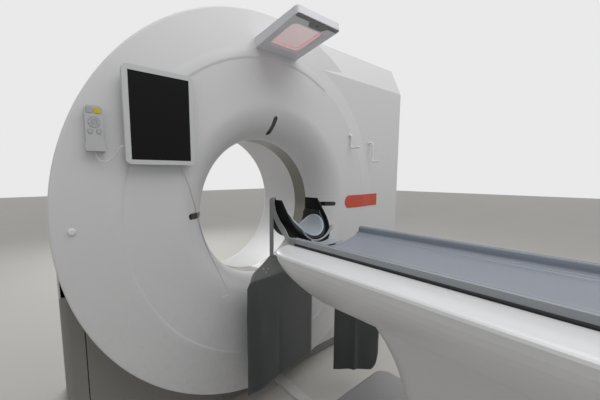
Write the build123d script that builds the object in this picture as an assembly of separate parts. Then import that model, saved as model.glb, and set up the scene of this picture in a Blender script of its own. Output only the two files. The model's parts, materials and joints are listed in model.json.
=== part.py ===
"""Computed tomography scanner: a gantry with a round bore and a lifting patient table.

Millimetres, +Z up. The origin lies on the floor straight below the scan plane's
centre. +Y runs along the bore, from the table into the gantry.
"""
import math
import os

from build123d import *

# Bore and scan plane
bore_radius = 350.0
bore_height = 985.0
window_width = 97.0
window_wall = 3.0

# Gantry covers, measured from the scan plane and the bore axis
cover_wall = 6.0
front_reach = 211.0
rear_reach = 537.0
rear_joint = 450.0
front_joint = 95.0
disc_clearance = 88.0
disc_radius = bore_height - disc_clearance
ring_radius = disc_radius - 201.0
rim_set_back = 20.0
rim_round = 8.0
funnel_width = 150.0
rear_flare_radius = 431.0
rear_flange = 12.0
cabinet_right = 1120.0
cabinet_set_back = 9.0
upper_crease = disc_radius - 175.0
lower_crease = disc_radius - 221.0
facet_depth = 76.0
cabinet_round = 12.0
shell_inset = 12.0
shell_wall = 5.0
shell_corner = 40.0
lip_depth = 6.0

# Relief on the front cover
laser_slot_width = 24.0
laser_slot_inner = 366.0
laser_slot_outer = 446.0
blade_depth = 2.5
blade_tip = (-482.0, 215.0)
blade_outer_middle = (-420.0, -107.0)
blade_outer_end = (-316.0, -366.0)
blade_inner_end = (-275.0, -366.0)
blade_inner_middle = (-358.0, -113.0)

# Grey base of the gantry
floor_gap = 12.0
base_shoulder = 725.0
base_panel_top = 612.0
base_wall = 5.0
base_round = 22.0
left_slit = disc_radius - 79.0
right_slit = 1030.0
slit_gap = 3.0
access_width = 220.0
access_height = 72.0
access_right = 334.0 - left_slit
access_bottom = 22.0
access_round = 25.0
access_gap = 1.5

# Steel stand
floor_plate = 20.0
stand_left = left_slit - 28.0
stand_right = 1010.0
stand_front = 60.0
stand_rear = 430.0
stator_front = 180.0
stator_thickness = 35.0
stator_outer = disc_radius - 137.0
stator_inner = 505.0
stand_leg_width = 150.0
stand_gusset = 20.0
bracket_width = 50.0
anchor_radius = 9.0
anchor_x = stand_left - 90.0
anchor_front = 30.0
anchor_rear = 400.0

# Rotor
bearing_radius = 500.0
bearing_gap = 0.3
race_thickness = 60.0
race_width = 50.0
rotor_inner = 376.0
rotor_outer = disc_radius - 97.0
rotor_front = 95.0
rotor_plate = 30.0
belt_width = 28.0
belt_thickness = 4.0
belt_gap = 0.3
sleeve_inner = 408.0
sleeve_outer = 430.0
sleeve_reach = 275.0
slip_ring_outer = 452.0
slip_ring_start = 210.0
slip_ring_width = 60.0
brush_width = 70.0
brush_depth = 50.0
slip_ring_tracks = 4
tube_radius = 92.0
tube_height = rotor_outer - 160.0
socket_reach = 20.0
focus_height = tube_height - 40.0
collimator_half_width = 110.0
collimator_low = tube_height - 185.0
cooler_inner = 480.0
cooler_outer = rotor_outer - 100.0
cooler_half_height = 150.0
generator_half_height = 170.0
fan_radius = 60.0
detector_reach = focus_height + 480.0
detector_depth = 78.0
detector_half_angle = 26.0
detector_width = 120.0
rotor_part_front = 85.0
counterweight_outer = rotor_outer - 45.0
counterweight_inner = counterweight_outer - 155.0
motor_x = 930.0
motor_drop = 560.0
motor_radius = 80.0
motor_length = 200.0
motor_cap = 30.0
pulley_radius = 60.0
shaft_radius = 14.0
shaft_gap = 0.3

# Visor over the bore
visor_half_width = 120.0
visor_length = 268.0
visor_height = disc_radius - 172.0
visor_slope = 7.4
visor_root = 44.0
visor_tip = 28.0
visor_window_width = 178.0
visor_window_length = 172.0
visor_window_round = 24.0
visor_glass = 4.0

# Display beside the bore
display_width = 241.0
display_height = 323.0
display_thickness = 22.0
display_left = 221.0 - disc_radius
display_bottom = 204.0
display_stand_off = 18.0
display_round = 18.0
screen_width = 206.0
screen_height = 290.0
screen_depth = 2.0

# Hand control in its holder
remote_width = 50.0
remote_height = 139.0
remote_thickness = 20.0
remote_x = 139.0 - disc_radius
remote_bottom = 247.0
remote_round = 12.0
remote_stand_off = 5.0
key_proud = 1.2
key_gap = 0.4
key_depth = 3.2
cup_wall = 3.0
cup_height = 20.0
cord_diameter = 4.0

# Hooks on the right of the front cover: x, top and bottom from the bore axis
hook_rod = 11.0
hook_bend = 11.0
curved_hook_place = (548.0, 400.0, 325.0)
curved_hook_stand_off = 12.0
curved_hook_reach = 55.0
bar_hook_place = (752.0, 366.0, 250.0)
bar_hook_stand_off = 30.0
bar_hook_reach = 45.0

# Tabletop
top_front = -548.0
top_length = 2400.0
top_half_width = 207.0
top_edge = 925.0
top_side = 24.0
top_belly = 66.0
top_skin = 12.0
mattress_front = -562.0
bed_middle = top_edge - top_side - top_belly + top_skin + 3.0
mattress_middle = bed_middle + 20.0
mattress_side = top_edge - 23.0
mattress_lip = top_edge + 2.0

# Table body
table_front = -526.0
table_length = 2446.0
table_half_width = 325.0
table_top = top_edge - 22.0
table_corner = 120.0
table_tuck = 120.0
hull_layers = 8
table_wall = 5.0
hull_bottom = table_top - 165.0
trough_half_width = 213.0
trough_floor = table_top - 83.0
trough_flat = 150.0
rail_x = 110.0
rail_width = 24.0
rail_top = trough_floor + 14.0
carriage_length = 80.0
carriage_inset = 48.0
carriage_pitch = 560.0

# Lift and pedestal
lift_down = 335.0
lift_up = 30.0
column_y = (-1250.0, -1820.0)
column_outer = 200.0
column_wall = 9.0
column_gap = 0.5
column_lap = 91.0
pedestal_front = -958.0
pedestal_rear = -2112.0
pedestal_half_width = 188.0
pedestal_flare = 108.0
pedestal_side_flare = 15.0
pedestal_height = 348.0
pedestal_layers = 8
pedestal_round = 55.0
pedestal_wall = 4.0
pedestal_gap = 3.0
foot_front = -600.0
foot_rear = -2330.0
foot_half_width = 325.0
foot_height = 238.0
foot_round = 60.0
duct_x = 81.0
duct_width = 58.0
duct_height = 10.0

# Head holder and restraints
holder_front = -293.0
holder_tip_rear = -378.0
holder_height = 179.0
holder_half_width = 112.0
holder_bottom = bed_middle + 16.0
holder_top = holder_bottom + holder_height
holder_wall = 8.0
restraint_thickness = 4.0
left_sheet_turn = 7.5
left_sheet_left = 120.0
left_sheet_right = 295.0
left_sheet_top = top_edge - 220.0
left_sheet_bottom = left_sheet_top - 505.0
right_sheet_near = (210.0, -402.0)
right_sheet_far = (405.0, -533.0)
right_sheet_top = top_edge - 325.0
right_sheet_bottom = right_sheet_top - 450.0


def at_bore(shape):
    """Lift a shape that is drawn about the bore axis to the bore's height."""
    return Pos(0, 0, bore_height) * shape


def prism_x(face, x0, x1):
    """Extrude a (y, z) sketch from x0 to x1."""
    return extrude(Plane.YZ.offset(x0) * face, amount=x1 - x0)


def prism_y(face, y0, y1):
    """Extrude an (x, z) sketch from y0 to y1."""
    return extrude(Plane.XZ.offset(-y1) * face, amount=y1 - y0)


def prism_z(face, z0, z1):
    """Extrude an (x, y) sketch from z0 to z1."""
    return extrude(Plane.XY.offset(z0) * face, amount=z1 - z0)


def block(x0, x1, y0, y1, z0, z1):
    """A box between two corners."""
    return Pos((x0 + x1) / 2, (y0 + y1) / 2, (z0 + z1) / 2) * Box(x1 - x0, y1 - y0, z1 - z0)


def rectangle(x0, x1, y0, y1):
    """A rectangle between two corners."""
    return Pos((x0 + x1) / 2, (y0 + y1) / 2) * Rectangle(x1 - x0, y1 - y0)


def rounded(x0, x1, y0, y1, radius):
    """A rectangle between two corners, with round corners."""
    return Pos((x0 + x1) / 2, (y0 + y1) / 2) * RectangleRounded(x1 - x0, y1 - y0, radius)


def turned(face):
    """Turn an (r, y) section about the bore axis."""
    return revolve(face, axis=Axis.Y, revolution_arc=360)


def ring(inner, outer, y0, y1):
    """A plain ring about the bore axis."""
    return turned(rectangle(inner, outer, y0, y1))


def save(name, shape):
    """Write one piece."""
    export_step(shape, f"parts/{name}.step")


# Gantry covers
mouth_radius = bore_radius + funnel_width
mouth_depth = front_reach - window_width / 2
shell_radius = disc_radius - shell_inset
shell_right = cabinet_right - shell_inset
low_edge = floor_gap - bore_height


def disc_solid(inset):
    """The round front, as a filled body whose skin lies inset under the surface."""
    rim = disc_radius - inset
    section = make_face(
        Polyline(
            (0, -front_joint),
            (0, inset - front_reach),
            (ring_radius, inset - front_reach),
            (rim, inset + rim_set_back - front_reach),
            (rim, -front_joint),
            close=True,
        )
    )
    corner = section.vertices().sort_by(Axis.X)[-2:].sort_by(Axis.Y)[0]
    return turned(fillet(corner, rim_round))


def cabinet_solid(inset):
    """The squared right half of the front, with its sloping facets."""
    top = disc_radius - inset
    front = inset + cabinet_set_back - front_reach
    section = make_face(
        Polyline(
            (-front_joint, -top),
            (front + facet_depth, -top),
            (front, -lower_crease),
            (front, upper_crease),
            (front + facet_depth, top),
            (-front_joint, top),
            close=True,
        )
    )
    body = prism_x(section, 0, cabinet_right - inset)
    side = body.edges().filter_by_position(Axis.X, cabinet_right - inset - 1, cabinet_right)
    facing = side.filter_by(lambda edge: (edge @ 0.5).Y < -front_joint - 1)
    upright = facing.filter_by(lambda edge: abs((edge % 0.5).Z) > 0.5)
    return fillet(upright, cabinet_round - inset)


def mouth_solid(inset):
    """The funnel's open space, grown by inset into the wall."""
    far = -front_reach - 60
    curve = EllipticalCenterArc(
        (mouth_radius, -window_width / 2),
        funnel_width - inset,
        mouth_depth - inset,
        start_angle=180,
        arc_size=90,
    )
    sides = Polyline(curve @ 1, (mouth_radius, far), (0, far), (0, -window_width / 2), curve @ 0)
    return turned(make_face([curve, *sides.edges()]))


def front_solid(inset):
    """The whole front body before its funnel is cut."""
    return disc_solid(inset) + cabinet_solid(inset)


def gantry_outline(inset, low):
    """The gantry seen from the front, from the dome down to a level line."""
    radius = shell_radius - inset
    right = shell_right - inset
    dome = Circle(radius) + rounded(0, right, -radius, radius, shell_corner - inset)
    return (dome & rectangle(-radius, right, 0, radius)) + rectangle(-radius, right, low, 0)


def slot_prism(angle, grow):
    """A laser slot's cutter: a stadium along the funnel's slope, turned about the bore."""
    depth_in = mouth_depth * math.sqrt(1 - ((mouth_radius - laser_slot_inner) / funnel_width) ** 2)
    depth_out = mouth_depth * math.sqrt(1 - ((mouth_radius - laser_slot_outer) / funnel_width) ** 2)
    start = Vector(laser_slot_inner, -window_width / 2 - depth_in, 0)
    end = Vector(laser_slot_outer, -window_width / 2 - depth_out, 0)
    along = (end - start).normalized()
    middle = (start + end) / 2
    plane = Plane(origin=middle, x_dir=along, z_dir=Vector(0, 0, 1).cross(along))
    length = (end - start).length
    stadium = SlotOverall(length + 2 * grow, laser_slot_width + 2 * grow)
    cutter = extrude(plane * stadium, amount=40, both=True)
    return Rot(0, -angle, 0) * cutter


slot_angles = (0, 90, 180)


def front_cover():
    """The moulded front: disc, cabinet front, funnel, slots and blade relief."""
    neck = turned(rectangle(0, bore_radius + 2 * cover_wall, -front_joint, -window_width / 2))
    hollow = front_solid(cover_wall) - mouth_solid(cover_wall)
    cover = front_solid(0) + neck - hollow - mouth_solid(0)
    lip = front_outline(0) - front_outline(shell_inset + shell_wall)
    cover += prism_y(lip, -front_joint - lip_depth, -front_joint)
    for angle in slot_angles:
        cover -= slot_prism(angle, 0)
    return cover - (prism_y(blade_outline(), -front_reach - 30, 0) & blade_band())


def front_outline(inset):
    """The front cover's own edge."""
    radius = disc_radius - inset
    return Circle(radius) + rectangle(0, cabinet_right - inset, -radius, radius)


def blade_outline():
    """The long curved blade beside the bore."""
    outer = ThreePointArc(blade_tip, blade_outer_middle, blade_outer_end)
    end = Line(blade_outer_end, blade_inner_end)
    inner = ThreePointArc(blade_inner_end, blade_inner_middle, blade_tip)
    return make_face([outer, end, inner])


def blade_band():
    """The layer just under the funnel's surface in which the blade is pressed."""
    grown = mouth_solid(blade_depth)
    flat = ring(mouth_radius, disc_radius, -front_reach - 60, blade_depth - front_reach)
    return grown + flat


def laser_windows():
    """Dark panes that fill the three slots a little under the surface."""
    pane = mouth_solid(4) - mouth_solid(1)
    return sum((pane & slot_prism(angle, -0.2) for angle in slot_angles), Part())


def rear_body():
    """The back: a flat plate with its rim and a flared mouth with a rounded edge."""
    outline = gantry_outline(0, low_edge)
    body = prism_y(outline, rear_joint, rear_reach)
    inner = prism_y(gantry_outline(cover_wall, low_edge + cover_wall), rear_joint, rear_reach - cover_wall)
    flare = rear_mouth(0)
    return body + rear_neck() - (inner - rear_mouth(cover_wall)) - flare


def rear_mouth(inset):
    """The space inside the rear flare, grown by inset into its wall."""
    round_edge = rear_reach - rear_joint
    start = window_width / 2
    outer = rear_flare_radius + round_edge
    curve = CenterArc((outer + inset, rear_joint), round_edge, 180, -90)
    sides = Polyline(
        (outer + inset, rear_reach),
        (outer + inset, rear_reach + 60),
        (0, rear_reach + 60),
        (0, start),
        (bore_radius + inset, start),
        (rear_flare_radius + inset, rear_joint),
    )
    return turned(make_face([curve, *sides.edges()]))


def rear_neck():
    """The rear flare's wall between the scan window and the rear joint."""
    section = make_face(
        Polyline(
            (bore_radius - 1, window_width / 2),
            (bore_radius + cover_wall, window_width / 2),
            (rear_flare_radius + cover_wall, rear_joint),
            (rear_flare_radius - 1, rear_joint),
            close=True,
        )
    )
    return turned(section)


def gantry_covers():
    """Every outer cover of the gantry."""
    shoulder = base_shoulder - bore_height
    shell = gantry_outline(0, shoulder) - gantry_outline(shell_wall, shoulder - 10)
    window = ring(bore_radius, bore_radius + window_wall, -window_width / 2, window_width / 2)
    back = rear_body()
    mouth = ring(0, rear_flare_radius + rear_reach - rear_joint + rear_flange, 0, rear_reach + 1)
    return {
        "front_cover": at_bore(front_cover()),
        "laser_windows": at_bore(laser_windows()),
        "side_shell": at_bore(prism_y(shell, -front_joint, rear_joint)),
        "rear_cover": at_bore(back - mouth),
        "rear_funnel": at_bore(back & mouth),
        "scan_window": at_bore(window),
    }


def wrap_cover(edge, slit):
    """One side of the grey base: a side wall with a return along the front."""
    inward = math.copysign(1, slit - edge)
    outer = rectangle(*sorted((edge, slit)), -front_joint, rear_joint)
    cut = rectangle(
        *sorted((edge + inward * base_wall, slit + inward)), base_wall - front_joint, rear_joint + 1
    )
    outer = fillet(outer.vertices().sort_by_distance((edge, -front_joint))[0], base_round)
    cut = fillet(cut.vertices().sort_by_distance((edge, -front_joint))[0], base_round - base_wall)
    return prism_z(outer - cut, floor_gap, base_shoulder)


def gantry_base():
    """The grey covers between the disc and the floor."""
    panel = rectangle(-left_slit + slit_gap, right_slit - slit_gap, floor_gap, base_panel_top)
    door = (access_right - access_width, access_right, access_bottom, access_bottom + access_height)
    hole = rounded(*door, access_round)
    inner = offset(hole, -access_gap)
    y0, y1 = -front_joint, base_wall - front_joint
    return {
        "base_front_panel": prism_y(panel - hole, y0, y1),
        "access_panel": prism_y(inner, y0, y1) + backing_lugs(door, y1),
        "base_left_cover": wrap_cover(-shell_radius, -left_slit),
        "base_right_cover": wrap_cover(shell_right, right_slit),
    }


def backing_lugs(door, y):
    """Tabs behind the access panel that rest against the panel around it."""
    x0, x1, z0, z1 = door
    middle = (z0 + z1) / 2
    return block(x0 - 12, x0 + 20, y, y + 2, middle - 10, middle + 10) + block(
        x1 - 20, x1 + 12, y, y + 2, middle - 10, middle + 10
    )


# Steel stand, bearing and drive
shell_inside = shell_radius - shell_wall
stator_rear = stator_front + stator_thickness


def base_frame():
    """Floor plate, ring with legs, gussets behind it and brackets that carry the covers."""
    low = floor_plate - bore_height
    leg_inside = stator_outer - stand_leg_width
    plate = Circle(stator_outer) + rectangle(-stator_outer, stator_outer, low, 0)
    plate -= Circle(stator_inner)
    plate -= rectangle(-leg_inside, leg_inside, low - 1, -stator_outer - bracket_width / 2)
    stand = prism_y(plate, stator_front, stator_rear)
    rib = make_face(
        Polyline((stator_rear, low), (stand_rear - 30, low), (stator_rear, low + 420), close=True)
    )
    for x in (-leg_inside - stand_leg_width / 2, leg_inside + stand_leg_width / 2):
        stand += prism_x(rib, x - stand_gusset / 2, x + stand_gusset / 2)
    y0, y1 = stator_front + 3, stator_rear - 3
    dome = prism_y(Circle(shell_inside - 0.3), y0, y1)
    for angle in (100, 135, 170):
        arm = block(stator_outer - 20, shell_radius, y0, y1, -bracket_width / 2, bracket_width / 2)
        stand += (Rot(0, -angle, 0) * arm) & dome
    reach = shell_right - shell_wall
    stand += block(stator_outer - 90, reach, y0, y1, 300, 300 + bracket_width)
    stand = at_bore(stand) + block(-stand_left, stand_right, -stand_front, stand_rear, 0, floor_plate)
    stand += block(-shell_radius + base_wall, -stand_left, 100, 160, 0, floor_plate)
    stand += block(stand_right, shell_right - base_wall, 100, 160, 0, floor_plate)
    for x in (-anchor_x, anchor_x):
        for y in (-anchor_front, anchor_rear):
            stand -= Pos(x, y, floor_plate / 2) * Cylinder(anchor_radius, floor_plate + 2)
    return stand


def belt_outline(grow):
    """The belt's path seen from the front: arcs on the rotor and the pulley, and their tangents."""
    large = rotor_outer + grow
    small = pulley_radius + grow
    towards = math.degrees(math.atan2(-motor_drop, motor_x))
    lean = math.degrees(math.acos((large - small) / math.hypot(motor_x, motor_drop)))
    wheel = CenterArc((0, 0), large, towards + lean, 360 - 2 * lean)
    pulley = CenterArc((motor_x, -motor_drop), small, towards - lean, 2 * lean)
    return make_face([wheel, Line(wheel @ 1, pulley @ 0), pulley, Line(pulley @ 1, wheel @ 0)])


def drive_parts():
    """Motor, pulley, belt and the brushes that feed the slip ring."""
    belt_rear = rotor_front - 5
    belt_front = belt_rear - belt_width
    spot = Pos(motor_x, -motor_drop)
    motor_front = rotor_front + 5
    motor_rear = motor_front + motor_length
    motor = prism_y(spot * Circle(motor_radius), motor_front, motor_rear)
    motor += prism_y(spot * Circle(motor_radius * 0.6), motor_rear, motor_rear + motor_cap)
    foot = block(
        motor_x - motor_radius * 0.75,
        motor_x + motor_radius * 0.75,
        motor_front + 0.1 * motor_length,
        motor_rear - 0.1 * motor_length,
        floor_plate - bore_height,
        -motor_drop,
    )
    motor = motor + foot - prism_y(spot * Circle(shaft_radius + shaft_gap), motor_front - 1, motor_front + 32)
    flange = belt_gap + 3
    pulley = prism_y(spot * Circle(pulley_radius), belt_front - flange, belt_rear + flange)
    for y in (belt_front - flange, belt_rear + belt_gap):
        pulley += prism_y(spot * Circle(pulley_radius + 8), y, y + 3)
    pulley += prism_y(spot * Circle(shaft_radius), belt_rear + flange, motor_front + 30)
    belt = belt_outline(belt_gap + belt_thickness) - belt_outline(belt_gap)
    brush_front = stator_rear
    brushes = block(
        slip_ring_outer + bearing_gap,
        stator_inner + 60,
        brush_front,
        brush_front + brush_depth,
        -brush_width / 2,
        brush_width / 2,
    )
    return {
        "drive_motor": at_bore(motor),
        "drive_pulley": at_bore(pulley),
        "drive_belt": at_bore(prism_y(belt, belt_front, belt_rear)),
        "brush_block": at_bore(brushes),
    }


def sector(inner, outer, start, end):
    """A part of a flat ring between two angles."""
    arc = CenterArc((0, 0), outer, start, end - start)
    back = CenterArc((0, 0), inner, end, start - end)
    return make_face([arc, Line(arc @ 1, back @ 0), back, Line(back @ 1, arc @ 0)])


def rotor_drum():
    """The turning plate with its belt rim and the sleeve that carries the slip ring."""
    rear = rotor_front + rotor_plate
    drum = ring(rotor_inner, rotor_outer, rotor_front, rear)
    drum += ring(rotor_outer - 15, rotor_outer, rotor_front - 38, rotor_front)
    drum += ring(sleeve_inner, sleeve_outer, rear, sleeve_reach)
    for angle in (65, 115, 205, 335):
        hole = prism_y(Pos(rotor_outer - 100, 0) * Circle(40), rotor_front - 1, rear + 1)
        drum -= Rot(0, -angle, 0) * hole
    return drum


def slip_ring():
    """Insulated ring with one groove per track."""
    end = slip_ring_start + slip_ring_width
    body = ring(sleeve_outer + bearing_gap, slip_ring_outer, slip_ring_start, end)
    pitch = slip_ring_width / slip_ring_tracks
    for track in range(slip_ring_tracks):
        start = slip_ring_start + pitch * (track + 0.3)
        body -= ring(slip_ring_outer - 4, slip_ring_outer + 1, start, start + pitch * 0.4)
    return body


def xray_tube():
    """Tube housing with its beam port and two cable sockets."""
    front = socket_reach - rotor_part_front
    housing = prism_y(Pos(0, tube_height) * Circle(tube_radius), front, rotor_front)
    port_low = collimator_low + 85
    housing += block(-45, 45, -30, 30, port_low, tube_height)
    for x in (-35, 35):
        socket = Pos(x, tube_height + 20) * Circle(16)
        housing += prism_y(socket, -rotor_part_front, front)
    return housing


def detector_arc():
    """Curved detector facing the focus, with cooling ribs on its back."""
    outer = detector_reach + detector_depth
    half = detector_half_angle
    arc = sector(detector_reach, outer, 270 - half, 270 + half)
    body = prism_y(Pos(0, focus_height) * arc, -detector_width / 2, rotor_front)
    for step in range(-5, 6):
        turn = step * (half - 2) / 5
        rib = block(-4, 4, -detector_width / 2, rotor_front - 20, -outer - 12, -outer + 5)
        body += Pos(0, 0, focus_height) * Rot(0, turn, 0) * rib
    return body


def rotor_parts():
    """Everything that turns about the bore."""
    rear = rotor_front + rotor_plate
    inner_race = ring(bearing_radius - race_width - 10, bearing_radius - bearing_gap, rear, stator_front - 2)
    cooler = block(
        -cooler_outer, -cooler_inner, -60, rotor_front, -cooler_half_height, cooler_half_height
    )
    generator = block(
        cooler_inner, cooler_outer, -60, rotor_front, -generator_half_height, generator_half_height
    )
    middle = -(cooler_inner + cooler_outer) / 2
    for z in (-cooler_half_height / 2, cooler_half_height / 2):
        fan = Pos(middle, z) * (Circle(fan_radius) - Circle(fan_radius * 0.3))
        cooler -= prism_y(fan, -61, -45)
    for step in range(-4, 5):
        z = step * generator_half_height / 5
        generator -= block(cooler_inner + 20, cooler_outer - 20, -61, -50, z - 6, z + 6)
    collimator = block(
        -collimator_half_width, collimator_half_width, -50, rotor_front, collimator_low, collimator_low + 85
    )
    collimator -= block(-70, 70, -8, 8, collimator_low - 1, collimator_low + 86)
    weights = [
        prism_y(sector(counterweight_inner, counterweight_outer, start, start + 20), 35, rotor_front)
        for start in (35, 125)
    ]
    return {
        "rotor_drum": at_bore(rotor_drum()),
        "bearing_inner_race": at_bore(inner_race),
        "slip_ring": at_bore(slip_ring()),
        "xray_tube": at_bore(xray_tube()),
        "tube_cooler": at_bore(cooler),
        "generator": at_bore(generator),
        "collimator": at_bore(collimator),
        "detector_arc": at_bore(detector_arc()),
        "counterweights": at_bore(sum(weights, Part())),
    }


# Visor, display, hand control and hooks on the front cover
def visor_parts():
    """The visor's frame, its clear window and the dark strip that carries the camera."""
    place = Pos(0, -front_reach, bore_height + visor_height) * Rot(-visor_slope, 0, 0)
    tip = -visor_length
    growth = (visor_root - visor_tip) / visor_length
    side = Polyline((60, 0), (tip, 0), (tip, visor_tip), (60, visor_root + 60 * growth), close=True)
    frame = prism_x(make_face(side), -visor_half_width, visor_half_width)
    frame = fillet(frame.edges().filter_by(Axis.Z).sort_by(Axis.Y)[:2], 14)
    window_front = tip + 54
    x = visor_window_width / 2
    window_rear = window_front + visor_window_length
    frame -= prism_z(rounded(-x, x, window_front, window_rear, visor_window_round), -1, 80)
    inner = offset(rounded(-x, x, window_front, window_rear, visor_window_round), -0.2)
    pane = prism_z(inner, visor_tip / 2, visor_tip / 2 + visor_glass)
    edge = tip + 20
    wide = visor_half_width - 8
    strip = Polyline(
        (-wide, tip + 5),
        (wide, tip + 5),
        (wide, edge),
        (62, edge),
        (46, edge + 24),
        (-22, edge + 24),
        (-38, edge),
        (-wide, edge),
        close=True,
    )
    bar = prism_z(make_face(strip), -3, 2)
    lens = Pos(10, edge + 6, -4) * Cylinder(6, 2)
    body = at_bore(front_solid(0))
    return {
        "visor_frame": place * (frame - bar) - body,
        "visor_window": place * pane,
        "visor_camera_bar": place * (bar + lens),
    }


def display_parts():
    """The display, its bracket and its screen."""
    right = display_left + display_width
    top = display_bottom + display_height
    back = -front_reach - display_stand_off
    front = back - display_thickness
    case = prism_y(rounded(display_left, right, display_bottom, top, display_round), front, back)
    middle = (display_left + right) / 2
    x0, x1 = middle - screen_width / 2, middle + screen_width / 2
    z1 = top - (display_width - screen_width) / 2
    z0 = z1 - screen_height
    case -= prism_y(rectangle(x0, x1, z0, z1), front - 1, front + screen_depth)
    screen = prism_y(rectangle(x0 + 0.2, x1 - 0.2, z0 + 0.2, z1 - 0.2), front, front + screen_depth)
    bracket = block(middle - 75, middle + 75, back, -100, display_bottom + 40, top - 40)
    return {
        "display_case": at_bore(case),
        "display_screen": at_bore(screen),
        "display_mount": at_bore(bracket - front_solid(0)),
    }


def key_outlines():
    """The face of each key of the hand control."""
    x, z = remote_x, remote_bottom
    pad = Pos(x, z + 0.63 * remote_height)
    return {
        "key_grey": rounded(x - 21, x - 3, z + 0.83 * remote_height, z + 0.95 * remote_height, 4),
        "key_yellow": rounded(x + 1, x + 21, z + 0.83 * remote_height, z + 0.95 * remote_height, 4),
        "direction_pad": pad * (Circle(17) - Circle(7 + key_gap)),
        "centre_key": pad * Circle(7),
        "key_low_left": rounded(x - 19, x - 5, z + 0.37 * remote_height, z + 0.47 * remote_height, 3),
        "key_low_right": rounded(x + 5, x + 19, z + 0.37 * remote_height, z + 0.47 * remote_height, 3),
    }


remote_rear = -front_reach + remote_stand_off
remote_front = remote_rear - remote_thickness


def remote_parts():
    """The hand control, its sprung keys and the holder it stands in."""
    x0, x1 = remote_x - remote_width / 2, remote_x + remote_width / 2
    z0, z1 = remote_bottom, remote_bottom + remote_height
    outline = rounded(x0, x1, z0, z1, remote_round)
    case = prism_y(outline, remote_front, remote_rear)
    parts = {}
    for name, face in key_outlines().items():
        parts[name] = at_bore(prism_y(face, remote_front - key_proud, remote_front - key_proud + key_depth))
        pocket = offset(make_face(face.face().outer_wire()), key_gap)
        case -= prism_y(pocket, remote_front - 1, remote_front + key_depth)
    grown = prism_y(offset(outline, 0.3), remote_front - 0.3, remote_rear)
    plate = block(x0 + 2, x1 - 2, remote_rear, -100, z0, z0 + 0.62 * remote_height) - front_solid(0)
    cup = block(
        x0 - cup_wall,
        x1 + cup_wall,
        remote_front - cup_wall,
        remote_rear,
        z0 - cup_wall,
        z0 + cup_height,
    )
    hole = Pos(remote_x, (remote_front + remote_rear) / 2, z0) * Cylinder(cord_diameter, 4 * cup_wall)
    parts["remote_case"] = at_bore(case)
    parts["remote_holder"] = at_bore(plate + cup - grown - hole)
    return parts


def remote_cord():
    """The cord that droops from the hand control to the display's side."""
    start_y = (remote_front + remote_rear) / 2
    end_y = -front_reach - display_stand_off - display_thickness / 2
    drops = (
        (0, 0, 0),
        (0, 0, -17),
        (0.12, 0.1, -33),
        (0.37, 0.35, -37),
        (0.59, 0.65, -22),
        (0.72, 0.85, -3),
        (0.8, 0.95, 9),
        (0.89, 1, 15),
        (1, 1, 17.5),
    )
    points = [
        (
            remote_x + along * (display_left - remote_x),
            start_y + forward * (end_y - start_y),
            remote_bottom + drop,
        )
        for along, forward, drop in drops
    ]
    return cord(points)


def cord(points):
    """A round cord along straight runs and tangent arcs."""
    runs = [Vector(*end) - Vector(*start) for start, end in zip(points, points[1:])]
    radii = []
    for before, after in zip(runs, runs[1:]):
        turn = math.radians(before.get_angle(after))
        radii.append(round(0.45 * min(before.length, after.length) / math.tan(turn / 2), 1))
    print("cord radii", radii)
    path = FilletPolyline(*points, radius=radii)
    start = Plane(origin=path @ 0, z_dir=path % 0)
    body = sweep(start * Circle(cord_diameter / 2), path=path)
    section = math.pi * (cord_diameter / 2) ** 2
    print("cord length", round(path.length, 1), "volume over section", round(body.volume / section, 1))
    return at_bore(body)


def hook(place, stand_off, reach):
    """A rod that leaves the cover, runs down in front of it and turns outward."""
    x, top, bottom = place
    cone = max(math.hypot(x, top) - ring_radius, 0) / (disc_radius - ring_radius)
    face = min(cone * rim_set_back, cabinet_set_back) - front_reach
    near = face - stand_off
    far = near - reach
    path = FilletPolyline(
        (x, face + 4, top), (x, near, top), (x, near, bottom), (x, far, bottom), radius=hook_bend
    )
    rod = sweep(Plane(origin=path @ 0, z_dir=path % 0) * Circle(hook_rod / 2), path=path)
    rod += Pos(x, far, bottom) * Sphere(hook_rod / 2)
    rod += prism_y(Pos(x, top) * Circle(hook_rod), face - 4, face + 4)
    return at_bore(rod - front_solid(0))


# Table
table_rear = table_front - table_length
top_rear = top_front - top_length
trough_rear = top_rear - 6
hull_crown = ((0, 13), (2, 6), (5, 2), (11, 0))
trough_steps = (18, 83)


def hull(wall):
    """The table body's outer form, or its inside when wall is not nothing."""
    layers = []
    low = table_top - hull_crown[-1][0]
    levels = [(table_top - drop, inset) for drop, inset in hull_crown]
    for step in range(1, hull_layers + 1):
        share = step / hull_layers
        levels.append((low - share * (low - hull_bottom), table_tuck * share**1.6))
    for z, inset in levels:
        z = min(max(z, hull_bottom + wall), table_top - wall)
        if layers and z == layers[-1].center().Z:
            continue
        inset += wall
        half = table_half_width - inset
        face = rounded(-half, half, table_rear + inset, table_front - inset, table_corner - inset / 2)
        layers.append(Pos(0, 0, z) * face)
    return loft(layers, ruled=True)


def trough_outline():
    """The open channel in which the tabletop runs."""
    x = trough_half_width
    shoulder = table_top - trough_steps[0]
    return make_face(
        Polyline(
            (-x, top_edge + 40),
            (-x, shoulder),
            (-trough_flat, trough_floor),
            (trough_flat, trough_floor),
            (x, shoulder),
            (x, top_edge + 40),
            close=True,
        )
    )


def table_body_cover():
    """The white moulded body with its trough, rail slots and column holes."""
    end = table_front + 50
    trough = prism_y(trough_outline(), trough_rear, end)
    skin = prism_y(offset(trough_outline(), table_wall, kind=Kind.INTERSECTION), trough_rear - table_wall, end)
    body = hull(0) - trough - (hull(table_wall) - skin)
    y0, y1 = rail_ends
    for x in (-rail_x, rail_x):
        half = rail_width / 2 + 1
        body -= block(x - half, x + half, y0 - 0.5, y1 + 0.5, trough_floor - table_wall - 1, trough_floor + 1)
    for y in column_y:
        half = column_outer / 2 + 10
        body -= block(-half, half, y - half, y + half, hull_bottom - 1, hull_bottom + table_wall + 1)
    return body


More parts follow.
